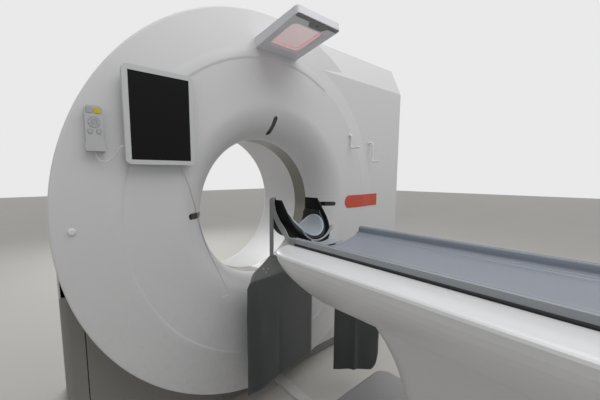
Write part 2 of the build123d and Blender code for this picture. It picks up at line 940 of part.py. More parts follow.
rail_ends = (table_rear + 66, table_front - 54)
beam_ends = (table_rear + 160, table_front - 164)
inner_floor = hull_bottom + table_wall


def belly(offset_down, y0, y1):
    """Everything at or above the tabletop's underside, moved down a little."""
    x = top_half_width
    z = top_edge - top_side - offset_down
    low = z - top_belly
    arc = ThreePointArc((-x, z), (0, low), (x, z))
    return prism_y(make_face([arc, *Polyline((x, z), (x, z + 200), (-x, z + 200), (-x, z)).edges()]), y0, y1)


def table_frame():
    """Two long beams with rails on top, cross plates over the columns and a slide pad."""
    top = trough_floor - table_wall
    frame = None
    for x in (-rail_x, rail_x):
        beam = block(x - 20, x + 20, *beam_ends, inner_floor, top)
        rail = block(x - rail_width / 2, x + rail_width / 2, *rail_ends, top, rail_top)
        beam += rail
        frame = beam if frame is None else frame + beam
    for y in column_y:
        frame += block(-rail_x, rail_x, y - 110, y + 110, inner_floor, inner_floor + 14)
    for y in beam_ends:
        middle = y + math.copysign(20, column_y[0] - y)
        frame += block(-rail_x, rail_x, middle - 15, middle + 15, inner_floor, inner_floor + 40)
    pad_front = rail_ends[1] - 20
    pad = block(-rail_x, rail_x, pad_front - 40, pad_front, trough_floor + 2, rail_top + 30)
    return frame + (pad - belly(0.3, pad_front - 41, pad_front + 1))


def tabletop_shell():
    """The long cradle that carries the patient."""
    x = top_half_width
    side = top_edge - top_side
    inner = x - 10
    arc = ThreePointArc((-x, side), (0, side - top_belly), (x, side))
    back = Polyline((x, side), (x, top_edge), (inner, top_edge), (inner, side - 2))
    bed = ThreePointArc((inner, side - 2), (0, bed_middle), (-inner, side - 2))
    left = Polyline((-inner, side - 2), (-inner, top_edge), (-x, top_edge), (-x, side))
    return prism_y(make_face([arc, *back.edges(), bed, *left.edges()]), top_rear, top_front)


def mattress():
    """The cushion: a shallow channel with a raised lip along each side."""
    outer = top_half_width - 10
    inner = outer - 14
    side = top_edge - top_side - 2
    bed = ThreePointArc((-outer, side), (0, bed_middle), (outer, side))
    right = Polyline((outer, side), (outer, mattress_lip), (inner, mattress_lip), (inner, mattress_side))
    top = ThreePointArc((inner, mattress_side), (0, mattress_middle), (-inner, mattress_side))
    left = Polyline((-inner, mattress_side), (-inner, mattress_lip), (-outer, mattress_lip), (-outer, side))
    section = make_face([bed, *right.edges(), top, *left.edges()])
    return prism_y(section, top_rear + 8, mattress_front)


def rail_carriages():
    """Four carriages under the tabletop, astride the rails."""
    carriages = Part()
    for y in (top_rear + carriage_inset, top_rear + carriage_inset + carriage_pitch):
        end = y + carriage_length
        for x in (-rail_x, rail_x):
            side = rail_width / 2 + 6
            body = block(x - side, x + side, y, end, trough_floor + 3, rail_top + 40)
            body -= belly(0, y - 1, end + 1)
            half = rail_width / 2 + 0.3
            body -= block(x - half, x + half, y - 1, end + 1, trough_floor, rail_top + 0.3)
            carriages += body
    return carriages


def tabletop_drive():
    """Gear motor below the trough with its upright pinion shaft."""
    middle = sum(column_y) / 2
    drive = block(-60, 60, middle - 70, middle + 70, inner_floor, inner_floor + 50)
    drive += Pos(0, middle + 110, inner_floor + 30) * Rot(90, 0, 0) * Cylinder(28, 90)
    return drive + Pos(30, middle - 40, inner_floor + 58) * Cylinder(14, 20)


def square_tube(y, width, wall, z0, z1):
    """One square tube of a telescopic column."""
    half = width / 2
    hollow = half - wall
    tube = block(-half, half, y - half, y + half, z0, z1)
    return tube - block(-hollow, hollow, y - hollow, y + hollow, z0 - 1, z1 + 1)


plate_top = 25.0
column_length = (inner_floor - plate_top + 2 * column_lap) / 3
outer_foot = plate_top
middle_foot = outer_foot + column_length - column_lap
inner_foot = inner_floor - column_length
middle_width = column_outer - 2 * column_wall - 2 * column_gap
inner_width = middle_width - 2 * column_wall - 2 * column_gap


def columns():
    """The two telescopic columns, stage by stage."""
    outer = Part()
    middle = Part()
    inner = Part()
    for y in column_y:
        outer += square_tube(y, column_outer, column_wall, outer_foot, outer_foot + column_length)
        outer += square_tube(y, column_outer + 60, 39, outer_foot, outer_foot + 15)
        middle += square_tube(y, middle_width, column_wall, middle_foot, middle_foot + column_length)
        inner += square_tube(y, inner_width, column_wall, inner_foot, inner_floor)
    return {
        "column_outer_tubes": outer,
        "column_middle_tubes": middle,
        "column_inner_tubes": inner,
    }




def pedestal_form(wall):
    """The upper pedestal cover's form, or its inside."""
    layers = []
    for step in range(pedestal_layers + 1):
        share = step / pedestal_layers
        swell = (1 - share) ** 3.2
        half = pedestal_half_width + pedestal_side_flare * swell - wall
        y0 = pedestal_rear - pedestal_flare * swell + wall
        y1 = pedestal_front + pedestal_flare * swell - wall
        face = rounded(-half, half, y0, y1, pedestal_round - wall)
        layers.append(Pos(0, 0, hull_bottom - share * pedestal_height) * face)
    return loft(layers, ruled=True)


def pedestal_covers():
    """Upper and middle covers, which slide in one another, and the fixed foot cover."""
    upper = pedestal_form(0) - pedestal_form(pedestal_wall)
    inset = pedestal_wall + pedestal_gap
    half = pedestal_half_width - inset
    front = pedestal_front - inset
    rear = pedestal_rear + inset
    radius = pedestal_round - inset
    bottom = foot_height - 41
    top = hull_bottom - pedestal_height + 30
    outer = rounded(-half, half, rear, front, radius)
    middle = prism_z(outer - offset(outer, -pedestal_wall), bottom, top)
    hanger = middle_foot + column_length - 35
    for y in column_y:
        for x in (-half, half - pedestal_wall):
            middle += block(x, x + pedestal_wall, y - 30, y + 30, top, hanger)
        middle += block(-half, half, y - 30, y + 30, hanger, hanger + 10)
        tube = middle_width / 2
        middle -= block(-tube, tube, y - tube, y + tube, hanger - 1, hanger + 11)
    return {"pedestal_upper_cover": upper, "pedestal_middle_cover": middle, "pedestal_lower_cover": foot_cover()}


def foot_cover():
    """The fixed cover round the table's foot."""
    x = foot_half_width
    box = prism_z(rounded(-x, x, foot_rear, foot_front, foot_round), 0, foot_height)
    box = fillet(box.faces().sort_by(Axis.Z)[-1].edges(), 14)
    x -= base_wall
    y0, y1 = foot_rear + base_wall, foot_front - base_wall
    hollow = prism_z(rounded(-x, x, y0, y1, foot_round - base_wall), -1, foot_height - base_wall)
    hollow = fillet(hollow.faces().sort_by(Axis.Z)[-1].edges(), 9)
    half = pedestal_half_width + 2 + pedestal_gap
    flare = 14 + pedestal_gap
    opening = rounded(-half, half, pedestal_rear - flare, pedestal_front + flare, pedestal_round)
    return box - hollow - prism_z(opening, 0, foot_height + 1)


def table_base_plate():
    """The plate bolted to the floor under the columns."""
    inside = foot_half_width - base_wall
    y0, y1 = foot_rear + 50, foot_front - 50
    plate = block(-inside + 21, inside - 21, y0, y1, 0, plate_top)
    for y in (y0 + 150, y1 - 250):
        plate += block(-inside, inside, y, y + 100, 0, plate_top)
    for x in (-inside + 60, inside - 60):
        for y in (y0 + 50, y1 - 50):
            plate -= Pos(x, y, plate_top / 2) * Cylinder(anchor_radius, plate_top + 2)
    return plate


def cable_duct():
    """The low floor duct between the table's foot and the gantry."""
    half = duct_width / 2
    return block(duct_x - half, duct_x + half, foot_front, -stand_front, 0, duct_height)


# Head holder and restraints
holder_rear = top_front + 3
cradle_centre = holder_bottom + holder_half_width


def cradle(radius, y0, y1, top):
    """A round-bottomed channel, filled, up to a level."""
    outline = Pos(0, cradle_centre) * Circle(radius) & rectangle(-radius, radius, 0, cradle_centre)
    if top > cradle_centre:
        outline += rectangle(-radius, radius, cradle_centre, top)
    else:
        outline &= rectangle(-radius, radius, 0, top)
    return prism_y(outline, y0, y1)


def head_holder():
    """The black cradle with two tall wings, and the tongue that joins it to the tabletop."""
    body = cradle(holder_half_width, holder_rear, holder_front, holder_top)
    side = Polyline(
        (holder_front, holder_bottom - 5),
        (holder_front, holder_top),
        (holder_tip_rear, holder_top),
        (holder_tip_rear - 20, holder_top - 38),
        (holder_tip_rear - 76, holder_top - 60),
        (holder_tip_rear - 104, holder_top - 90),
        (holder_tip_rear - 134, holder_top - 120),
        (holder_rear, holder_top - 145),
        (holder_rear, holder_bottom - 5),
        close=True,
    )
    body &= prism_x(make_face(side), -holder_half_width, holder_half_width)
    tongue = block(-60, 60, top_front, top_front + 50, bed_middle - 12, holder_bottom + 14)
    inside = cradle(holder_half_width - holder_wall, top_front - 1, holder_front + 1, holder_top + 1)
    return body + tongue - inside


def head_cushions():
    """The oval pad in the cradle and the padded band near its rear edge."""
    radius = holder_half_width - holder_wall
    middle = (holder_front + holder_tip_rear) / 2 - 70
    span = 92
    lining = cradle(radius, middle - span, middle + span, cradle_centre)
    lining -= cradle(radius - 12, middle - span - 1, middle + span + 1, cradle_centre + 1)
    oval = prism_z(Pos(0, middle) * Ellipse(radius, span), 0, holder_top)
    y = holder_rear + 26
    band = cradle(radius, y, y + 12, holder_bottom + 50)
    band -= cradle(radius - 8, y - 1, y + 13, holder_bottom + 51)
    return (lining & oval) + band


def strip(stations, width, thickness):
    """A flat band through a row of (point, width direction) stations."""
    points = [Vector(*point) for point, _ in stations]
    sections = []
    for index, (_, across) in enumerate(stations):
        before = points[max(index - 1, 0)]
        after = points[min(index + 1, len(points) - 1)]
        along = (after - before).normalized()
        side = Vector(*across)
        side = (side - along * side.dot(along)).normalized()
        plane = Plane(origin=points[index], x_dir=side, z_dir=along)
        sections.append(plane * Rectangle(width, thickness))
    return loft(sections, ruled=True)


def hanging(origin, direction, outline):
    """A flat sheet hung upright: the outline is drawn as (along, z)."""
    along = Vector(*direction, 0).normalized()
    plane = Plane(origin=Vector(*origin, 0), x_dir=along, z_dir=along.cross(Vector(0, 0, 1)))
    return extrude(plane * outline, amount=restraint_thickness / 2, both=True)


def restraint_left():
    """Strap over the left wing, with a flared apron and a hanging sheet sewn to it."""
    x = -holder_half_width - 4
    y = holder_front - 18
    corner = -top_half_width - 2.5
    up = (0, 0, 1)
    band = strip(
        [
            ((corner, top_front - 16, top_edge - 14), up),
            ((corner, top_front + 4, top_edge - 13), up),
            ((corner + 14, top_front + 28, top_edge - 10), up),
            ((corner + 60, top_front + 92, top_edge + 2), up),
            ((x - 2, y - 80, holder_top - 85), (0, -0.6, 1)),
            ((x, y - 20, holder_top - 30), (0, -0.8, 1)),
            ((x, y, holder_top - 14), (0, -0.8, 1)),
        ],
        26,
        3,
    )
    neck = left_sheet_top + 95
    band += block(x - 2, x + 2, y - 14, y + 14, neck, holder_top + 4)
    band += block(x - 2, x + 16, y - 14, y + 14, holder_top + 0.5, holder_top + 4)
    left = -left_sheet_left
    right = left_sheet_right
    outline = make_face(
        Polyline(
            (-13, neck + 8),
            (13, neck + 8),
            (30, neck - 2),
            (90, neck - 28),
            (180, neck - 70),
            (right, neck - 118),
            (right, left_sheet_bottom),
            (left, left_sheet_bottom),
            (left, neck - 80),
            (-102, neck - 58),
            (-60, neck - 14),
            (-30, neck - 2),
            close=True,
        )
    )
    turn = math.radians(left_sheet_turn)
    return band + hanging((x, y), (math.cos(turn), math.sin(turn)), outline)


def restraint_right():
    """Strap over the right edge of the tabletop with a sheet hanging from it."""
    near = Vector(*right_sheet_near)
    far = Vector(*right_sheet_far)
    across = far - near
    width = across.length
    along = across.normalized()
    spot = near + along * (width * 0.5)
    lip = mattress_lip + 1.8
    lean = (along.X, along.Y, 0)
    band = strip(
        [
            ((top_half_width - 5, top_front - 30, lip), lean),
            ((top_half_width + 6, top_front - 12, lip), lean),
            ((top_half_width + 34, table_front + 14, table_top + 2), lean),
            ((top_half_width + 41, table_front + 23, table_top - 50), lean),
            ((spot.X, spot.Y, right_sheet_top - 10), lean),
        ],
        28,
        3,
    )
    bottom = right_sheet_bottom
    outline = make_face(
        Polyline(
            (0, right_sheet_top),
            (width, right_sheet_top - 12),
            (width, bottom + 60),
            (width - 20, bottom + 18),
            (width - 60, bottom),
            (12, bottom + 10),
            (0, bottom + 25),
            close=True,
        )
    )
    return band + hanging((near.X, near.Y), (along.X, along.Y), outline)


def build():
    """Every node of the scanner by name."""
    parts = {}
    parts.update(gantry_covers())
    parts.update(gantry_base())
    parts.update(drive_parts())
    parts.update(rotor_parts())
    parts.update(visor_parts())
    parts.update(display_parts())
    parts.update(remote_parts())
    parts.update(columns())
    parts.update(pedestal_covers())
    parts["base_frame"] = base_frame()
    parts["bearing_outer_race"] = at_bore(
        ring(bearing_radius, bearing_radius + race_thickness, stator_front - race_width, stator_front)
    )
    parts["remote_cord"] = remote_cord()
    parts["curved_hook"] = hook(curved_hook_place, curved_hook_stand_off, curved_hook_reach)
    parts["bar_hook"] = hook(bar_hook_place, bar_hook_stand_off, bar_hook_reach)
    parts["table_body_cover"] = table_body_cover()
    parts["table_frame"] = table_frame()
    parts["tabletop_shell"] = tabletop_shell()
    parts["mattress"] = mattress()
    parts["rail_carriages"] = rail_carriages()
    parts["tabletop_drive"] = tabletop_drive()
    parts["table_base_plate"] = table_base_plate()
    parts["cable_duct"] = cable_duct()
    parts["head_holder"] = head_holder()
    parts["head_cushions"] = head_cushions()
    parts["restraint_left"] = restraint_left()
    parts["restraint_right"] = restraint_right()
    return parts


os.makedirs("parts", exist_ok=True)
for name, shape in build().items():
    save(name, shape)
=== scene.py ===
import bmesh
import bpy
import json
import math
from mathutils import Matrix, Vector


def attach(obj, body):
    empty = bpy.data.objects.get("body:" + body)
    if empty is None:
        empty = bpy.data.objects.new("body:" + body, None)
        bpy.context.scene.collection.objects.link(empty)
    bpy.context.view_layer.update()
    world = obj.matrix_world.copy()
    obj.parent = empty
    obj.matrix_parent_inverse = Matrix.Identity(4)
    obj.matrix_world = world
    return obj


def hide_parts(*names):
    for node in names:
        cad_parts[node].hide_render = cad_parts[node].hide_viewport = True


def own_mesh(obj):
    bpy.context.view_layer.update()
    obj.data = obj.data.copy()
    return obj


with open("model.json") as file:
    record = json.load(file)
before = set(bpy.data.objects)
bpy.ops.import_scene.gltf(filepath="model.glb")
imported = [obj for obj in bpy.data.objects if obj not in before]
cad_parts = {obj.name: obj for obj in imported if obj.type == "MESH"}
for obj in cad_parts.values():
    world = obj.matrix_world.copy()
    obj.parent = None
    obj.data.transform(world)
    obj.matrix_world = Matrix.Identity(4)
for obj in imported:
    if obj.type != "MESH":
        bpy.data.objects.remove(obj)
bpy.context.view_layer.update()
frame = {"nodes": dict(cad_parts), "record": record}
print("frame loaded:", len(frame["nodes"]), "nodes")

# nodes


# sets a node's inputs: a plain value goes into the socket, another node's output is linked to it
def feed(tree, node, values):
    for label, value in values.items():
        if isinstance(value, bpy.types.NodeSocket):
            tree.links.new(value, node.inputs[label])
        else:
            node.inputs[label].default_value = value


def mathNode(tree, operation, *values, clamp=False):
    node = tree.nodes.new("ShaderNodeMath")
    node.operation = operation
    node.use_clamp = clamp
    feed(tree, node, dict(enumerate(values)))
    return node.outputs[0]


def noiseNode(tree, coordinates, scale, detail, roughness=0.55):
    node = tree.nodes.new("ShaderNodeTexNoise")
    feed(tree, node, {"Vector": coordinates, "Scale": scale, "Detail": detail, "Roughness": roughness})
    return node.outputs["Fac"]


def mixColour(tree, factor, first, second):
    node = tree.nodes.new("ShaderNodeMix")
    node.data_type = "RGBA"
    feed(tree, node, {0: factor, 6: first, 7: second})
    return node.outputs[2]


def bumpNode(tree, height, distance):
    node = tree.nodes.new("ShaderNodeBump")
    feed(tree, node, {"Strength": 1.0, "Height": height, "Distance": distance})
    return node.outputs["Normal"]


# surface effects, each one a node group
def newGroup(name, inputs, outputs):
    group = bpy.data.node_groups.new(name, "ShaderNodeTree")
    for label, value in inputs.items():
        kind = "NodeSocketColor" if isinstance(value, tuple) else "NodeSocketFloat"
        group.interface.new_socket(name=label, in_out="INPUT", socket_type=kind).default_value = value
    for label, kind in outputs.items():
        group.interface.new_socket(name=label, in_out="OUTPUT", socket_type="NodeSocket" + kind)
    return group, group.nodes.new("NodeGroupInput").outputs, group.nodes.new("NodeGroupOutput")


# moulded or painted skin: faint clouding, fine grain, uneven gloss
def makeSkinGroup():
    group, entry, leave = newGroup(
        "mouldedSkin",
        {"Colour": (0.8, 0.8, 0.8, 1), "Tint": (0.7, 0.7, 0.7, 1), "Cloud Scale": 3.0, "Cloud Amount": 0.3,
         "Grain Scale": 900.0, "Grain Depth": 0.0001, "Roughness": 0.4, "Roughness Spread": 0.1},
        {"Colour": "Color", "Roughness": "Float", "Normal": "Vector"},
    )
    place = group.nodes.new("ShaderNodeTexCoord").outputs["Object"]
    cloud = noiseNode(group, place, entry["Cloud Scale"], 4.0)
    grain = noiseNode(group, place, entry["Grain Scale"], 2.0)
    amount = mathNode(group, "MULTIPLY", cloud, entry["Cloud Amount"])
    offset = mathNode(group, "SUBTRACT", cloud, 0.5)
    offset = mathNode(group, "MULTIPLY", offset, entry["Roughness Spread"])
    feed(group, leave, {
        "Colour": mixColour(group, amount, entry["Colour"], entry["Tint"]),
        "Roughness": mathNode(group, "ADD", entry["Roughness"], offset),
        "Normal": bumpNode(group, grain, entry["Grain Depth"]),
    })
    return group


# scuffs and dust that gather towards the floor
def makeScuffGroup():
    group, entry, leave = newGroup(
        "floorScuffs", {"Reach": 0.3, "Scale": 30.0, "Amount": 0.5}, {"Mask": "Float"})
    patchLevel, patchContrast = 0.48, 6.0
    place = group.nodes.new("ShaderNodeTexCoord").outputs["Object"]
    split = group.nodes.new("ShaderNodeSeparateXYZ")
    feed(group, split, {0: place})
    height = mathNode(group, "DIVIDE", split.outputs["Z"], entry["Reach"])
    low = mathNode(group, "SUBTRACT", 1.0, height, clamp=True)
    noise = noiseNode(group, place, entry["Scale"], 6.0, 0.7)
    patches = mathNode(group, "SUBTRACT", noise, patchLevel)
    patches = mathNode(group, "MULTIPLY", patches, patchContrast, clamp=True)
    mask = mathNode(group, "MULTIPLY", mathNode(group, "MULTIPLY", low, patches), entry["Amount"])
    feed(group, leave, {"Mask": mask})
    return group


# woven cloth: two sets of threads along the UV map, which is in metres
def makeWeaveGroup():
    group, entry, leave = newGroup(
        "plainWeave",
        {"Warp": (0.3, 0.3, 0.3, 1), "Weft": (0.2, 0.2, 0.2, 1), "Threads": 1200.0, "Depth": 0.0003,
         "Fade Scale": 5.0},
        {"Colour": "Color", "Fade": "Float", "Normal": "Vector"},
    )
    coordinates = group.nodes.new("ShaderNodeTexCoord").outputs
    split = group.nodes.new("ShaderNodeSeparateXYZ")
    feed(group, split, {0: coordinates["UV"]})
    turns = mathNode(group, "MULTIPLY", entry["Threads"], math.pi)
    across = mathNode(group, "SINE", mathNode(group, "MULTIPLY", split.outputs["X"], turns))
    along = mathNode(group, "SINE", mathNode(group, "MULTIPLY", split.outputs["Y"], turns))
    weave = mathNode(group, "MULTIPLY", mathNode(group, "MULTIPLY", across, along), 0.5)
    weave = mathNode(group, "ADD", weave, 0.5)
    feed(group, leave, {
        "Colour": mixColour(group, weave, entry["Warp"], entry["Weft"]),
        "Fade": noiseNode(group, coordinates["Object"], entry["Fade Scale"], 4.0),
        "Normal": bumpNode(group, weave, entry["Depth"]),
    })
    return group


skinGroup = makeSkinGroup()
scuffGroup = makeScuffGroup()
weaveGroup = makeWeaveGroup()


def newMaterial(name):
    material = bpy.data.materials.new(name)
    material.use_nodes = True
    return material, material.node_tree, material.node_tree.nodes["Principled BSDF"]


# puts an effect in a material with its own values
def placeGroup(tree, group, values):
    node = tree.nodes.new("ShaderNodeGroup")
    node.node_tree = group
    feed(tree, node, values)
    return node.outputs


# the shader's inputs by the short names used for the finishes
def shaderInputs(values):
    labels = {"coat": "Coat Weight", "coatRough": "Coat Roughness", "metal": "Metallic",
              "sheen": "Sheen Weight", "sheenRough": "Sheen Roughness", "specular": "Specular IOR Level"}
    return {labels[name]: value for name, value in values.items()}


def skinMaterial(name, colour, tint, rough=0.4, spread=0.12, cloud=2.5, amount=0.5,
                 grain=900.0, depth=0.00008, scuff=0.0, scuffReach=0.3, **others):
    material, tree, shader = newMaterial(name)
    scuffShade = 0.72
    skin = placeGroup(tree, skinGroup, {
        "Colour": (*colour, 1), "Tint": (*tint, 1), "Cloud Scale": cloud, "Cloud Amount": amount,
        "Grain Scale": grain, "Grain Depth": depth, "Roughness": rough, "Roughness Spread": spread,
    })
    baseColour = skin["Colour"]
    if scuff:
        marks = placeGroup(tree, scuffGroup, {"Reach": scuffReach, "Amount": scuff})
        baseColour = mixColour(tree, marks["Mask"], baseColour, (*[c * scuffShade for c in colour], 1))
    feed(tree, shader, {"Base Color": baseColour, "Roughness": skin["Roughness"], "Normal": skin["Normal"],
                        **shaderInputs(others)})
    return material


def clothMaterial(name, look, threads, depth, rough, **others):
    material, tree, shader = newMaterial(name)
    weave = placeGroup(tree, weaveGroup, {
        "Warp": (*look["warp"], 1), "Weft": (*look["weft"], 1), "Threads": threads, "Depth": depth,
    })
    fading, spread = 0.6, 0.2
    share = mathNode(tree, "MULTIPLY", weave["Fade"], fading)
    uneven = mathNode(tree, "MULTIPLY", weave["Fade"], spread)
    feed(tree, shader, {
        "Base Color": mixColour(tree, share, weave["Colour"], (*look["fade"], 1)),
        "Roughness": mathNode(tree, "ADD", uneven, rough - spread / 2),
        "Normal": weave["Normal"], **shaderInputs(others),
    })
    return material


# finishes of the machine's own parts, by the record's slots
finishes = {
    "cover_white": dict(colour=(0.66, 0.66, 0.67), tint=(0.6, 0.6, 0.615), rough=0.36, scuff=0.3,
                        scuffReach=0.9, coat=0.15, coatRough=0.25),
    "base_grey": dict(colour=(0.225, 0.215, 0.205), tint=(0.19, 0.182, 0.174), rough=0.42, scuff=0.5),
    "window_film": dict(colour=(0.2, 0.185, 0.15), tint=(0.17, 0.157, 0.125), rough=0.3, coat=0.4),
    "dark_pane": dict(colour=(0.012, 0.012, 0.014), tint=(0.02, 0.02, 0.022), rough=0.12, coat=0.6),
    "visor_grey": dict(colour=(0.72, 0.72, 0.76), tint=(0.66, 0.66, 0.7), rough=0.38),
    "camera_strip": dict(colour=(0.17, 0.17, 0.175), tint=(0.13, 0.13, 0.135), rough=0.3, coat=0.3),
    "display_grey": dict(colour=(0.57, 0.585, 0.59), tint=(0.53, 0.54, 0.55), rough=0.4),
    "screen_black": dict(colour=(0.004, 0.004, 0.0045), tint=(0.006, 0.006, 0.0065), rough=0.3,
                         grain=300.0, depth=0.00001, specular=0.12),
    "bracket_grey": dict(colour=(0.33, 0.335, 0.34), tint=(0.28, 0.285, 0.29), rough=0.45),
    "remote_grey": dict(colour=(0.5, 0.505, 0.515), tint=(0.45, 0.455, 0.465), rough=0.45, grain=1500.0),
    "key_grey": dict(colour=(0.4, 0.41, 0.43), tint=(0.34, 0.35, 0.37), rough=0.6, grain=1800.0),
    "key_yellow": dict(colour=(0.6, 0.5, 0.03), tint=(0.5, 0.42, 0.03), rough=0.55, grain=1800.0),
    "hook_white": dict(colour=(0.74, 0.74, 0.75), tint=(0.68, 0.68, 0.69), rough=0.25, coat=0.5),
    "stand_steel": dict(colour=(0.075, 0.085, 0.095), tint=(0.06, 0.068, 0.076), rough=0.5, scuff=0.4),
    "bearing_steel": dict(colour=(0.45, 0.455, 0.46), tint=(0.36, 0.365, 0.37), rough=0.3, cloud=20.0,
                          metal=1.0),
    "cast_aluminium": dict(colour=(0.46, 0.465, 0.47), tint=(0.38, 0.385, 0.39), rough=0.5, grain=220.0,
                           depth=0.0004, metal=1.0),
    "track_brass": dict(colour=(0.55, 0.38, 0.12), tint=(0.45, 0.3, 0.1), rough=0.3, cloud=12.0, metal=1.0),
    "tube_iron": dict(colour=(0.06, 0.065, 0.075), tint=(0.045, 0.05, 0.06), rough=0.5, grain=260.0,
                      depth=0.0003),
    "weight_iron": dict(colour=(0.035, 0.035, 0.038), tint=(0.05, 0.045, 0.042), rough=0.65, grain=160.0,
                        depth=0.0005),
    "belt_rubber": dict(colour=(0.012, 0.012, 0.012), tint=(0.02, 0.02, 0.02), rough=0.75, grain=500.0,
                        depth=0.0002),
    "brush_plastic": dict(colour=(0.025, 0.025, 0.028), tint=(0.035, 0.035, 0.038), rough=0.6),
    "duct_white": dict(colour=(0.66, 0.66, 0.65), tint=(0.56, 0.55, 0.53), rough=0.45, scuff=0.6,
                       scuffReach=0.05),
    "table_white": dict(colour=(0.74, 0.745, 0.755), tint=(0.7, 0.705, 0.715), rough=0.3, coat=0.3,
                        coatRough=0.15),
    "pedestal_grey": dict(colour=(0.62, 0.615, 0.62), tint=(0.56, 0.555, 0.56), rough=0.42, scuff=0.3),
    "foot_grey": dict(colour=(0.42, 0.42, 0.425), tint=(0.36, 0.36, 0.365), rough=0.42, scuff=0.5),
    "column_aluminium": dict(colour=(0.42, 0.43, 0.44), tint=(0.36, 0.37, 0.38), rough=0.35, metal=1.0),
    "tabletop_carbon": dict(colour=(0.045, 0.048, 0.052), tint=(0.035, 0.038, 0.042), rough=0.4),
    "holder_black": dict(colour=(0.004, 0.004, 0.0045), tint=(0.007, 0.007, 0.0075), rough=0.55,
                         specular=0.1),
}
# for slots whose solids are all replaced by pieces made here
fallbackFinish = dict(colour=(0.4, 0.4, 0.4), tint=(0.35, 0.35, 0.35))


# the visor's pane: pink-tinted and partly clear, with a faint emission that is a painted glow; the pane is
# no lamp
def paneMaterial():
    material, tree, shader = newMaterial("visorPane")
    skin = placeGroup(tree, skinGroup, {
        "Colour": (0.96, 0.82, 0.83, 1), "Tint": (0.94, 0.88, 0.89, 1), "Roughness": 0.12,
    })
    feed(tree, shader, {"Base Color": skin["Colour"], "Roughness": skin["Roughness"], "IOR": 1.46,
                        "Transmission Weight": 0.25, "Coat Weight": 0.3,
                        "Emission Color": (1.0, 0.86, 0.87, 1), "Emission Strength": 0.1})
    return material


materials = {"visor_pane": paneMaterial()}
slotOf = {entry["node"]: entry["material_slot"] for entry in frame["record"]["subparts"]}
for nodeName, node in frame["nodes"].items():
    slotName = slotOf[nodeName]
    if slotName not in materials:
        finish = finishes.get(slotName, fallbackFinish)
        materials[slotName] = skinMaterial(slotName.replace("_", " "), **finish)
    node.data.materials.clear()
    node.data.materials.append(materials[slotName])
print("finishes on", len(materials), "slots")


# ways of making pieces
alongY = (math.pi / 2, 0, 0)  # turns an upright primitive to lie from front to rear


def deselectAll():
    for thing in bpy.context.selected_objects:
        thing.select_set(False)


def selectOnly(piece):
    deselectAll()
    bpy.context.view_layer.objects.active = piece
    piece.select_set(True)


# names the primitive just added and puts its place into its mesh
def settlePrimitive(name):
    piece = bpy.context.object
    piece.name = name
    bpy.ops.object.transform_apply(location=True, rotation=True, scale=True)
    return piece


# selects the faces, edges or corners that lie where the test says, in edit mode
def selectByPlace(piece, kind, test):
    mesh = piece.data
    for thing in (*mesh.vertices, *mesh.edges, *mesh.polygons):
        thing.select = False
    if kind == "FACE":
        for polygon in mesh.polygons:
            polygon.select = test(polygon.center)
    elif kind == "EDGE":
        for edge in mesh.edges:
            edge.select = all(test(mesh.vertices[index].co) for index in edge.vertices)
    else:
        for vertex in mesh.vertices:
            vertex.select = test(vertex.co)
    bpy.ops.object.mode_set(mode="EDIT")
    bpy.ops.mesh.select_mode(type=kind)


def deleteFaces(piece, test):
    selectByPlace(piece, "FACE", test)
    bpy.ops.mesh.delete(type="FACE")
    bpy.ops.object.mode_set(mode="OBJECT")


def applyModifier(piece, kind, **values):
    selectOnly(piece)
    modifier = piece.modifiers.new(kind.lower(), kind)
    for label, value in values.items():
        setattr(modifier, label, value)
    bpy.ops.object.modifier_apply(modifier=modifier.name)
    piece.select_set(False)


def smoothByAngle(piece, angle=0.6):
    selectOnly(piece)
    bpy.ops.object.shade_smooth_by_angle(angle=angle)
    return piece


# gives a surface its wall and rounds the edges that come with it
def thicken(piece, wall, offset, rim, segments=3, angle=0.7, **others):
    applyModifier(piece, "SOLIDIFY", thickness=wall, offset=offset, **others)
    applyModifier(piece, "BEVEL", width=rim, segments=segments, limit_method="ANGLE", angle_limit=angle)


def finishPiece(piece, body, material=None):
    if material:
        piece.data.materials.append(material)
    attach(piece, body)
    return piece


def between(pair, share):
    return pair[0] + (pair[1] - pair[0]) * share


def runningLength(points):
    lengths = [0.0]
    for before, after in zip(points, points[1:]):
        lengths.append(lengths[-1] + (Vector(after) - Vector(before)).length)
    return lengths


# rows of points become a skin of quads, with a UV map in metres measured along the skin
def skinFromRows(name, rows, material, closed=False):
    tall, wide = len(rows), len(rows[0])
    body = bmesh.new()
    corners = [[body.verts.new(point) for point in row] for row in rows]
    layer = body.loops.layers.uv.new("threads")
    middle = rows[tall // 2]
    reach = runningLength([row[wide // 2] for row in rows])
    spread = runningLength([*middle, middle[0]])
    for i in range(tall - 1):
        for j in range(wide if closed else wide - 1):
            k = (j + 1) % wide
            face = body.faces.new((corners[i][j], corners[i][k], corners[i + 1][k], corners[i + 1][j]))
            places = ((j, i), (j + 1, i), (j + 1, i + 1), (j, i + 1))
            for loop, (u, v) in zip(face.loops, places):
                loop[layer].uv = (spread[u], reach[v])
    if closed:
        for row in (corners[0], corners[-1]):
            body.faces.new(row)
    for face in body.faces:
        face.smooth = True
    bmesh.ops.recalc_face_normals(body, faces=body.faces)
    mesh = bpy.data.meshes.new(name)
    body.to_mesh(mesh)
    body.free()
    mesh.materials.append(material)
    piece = bpy.data.objects.new(name, mesh)
    bpy.context.scene.collection.objects.link(piece)
    return piece


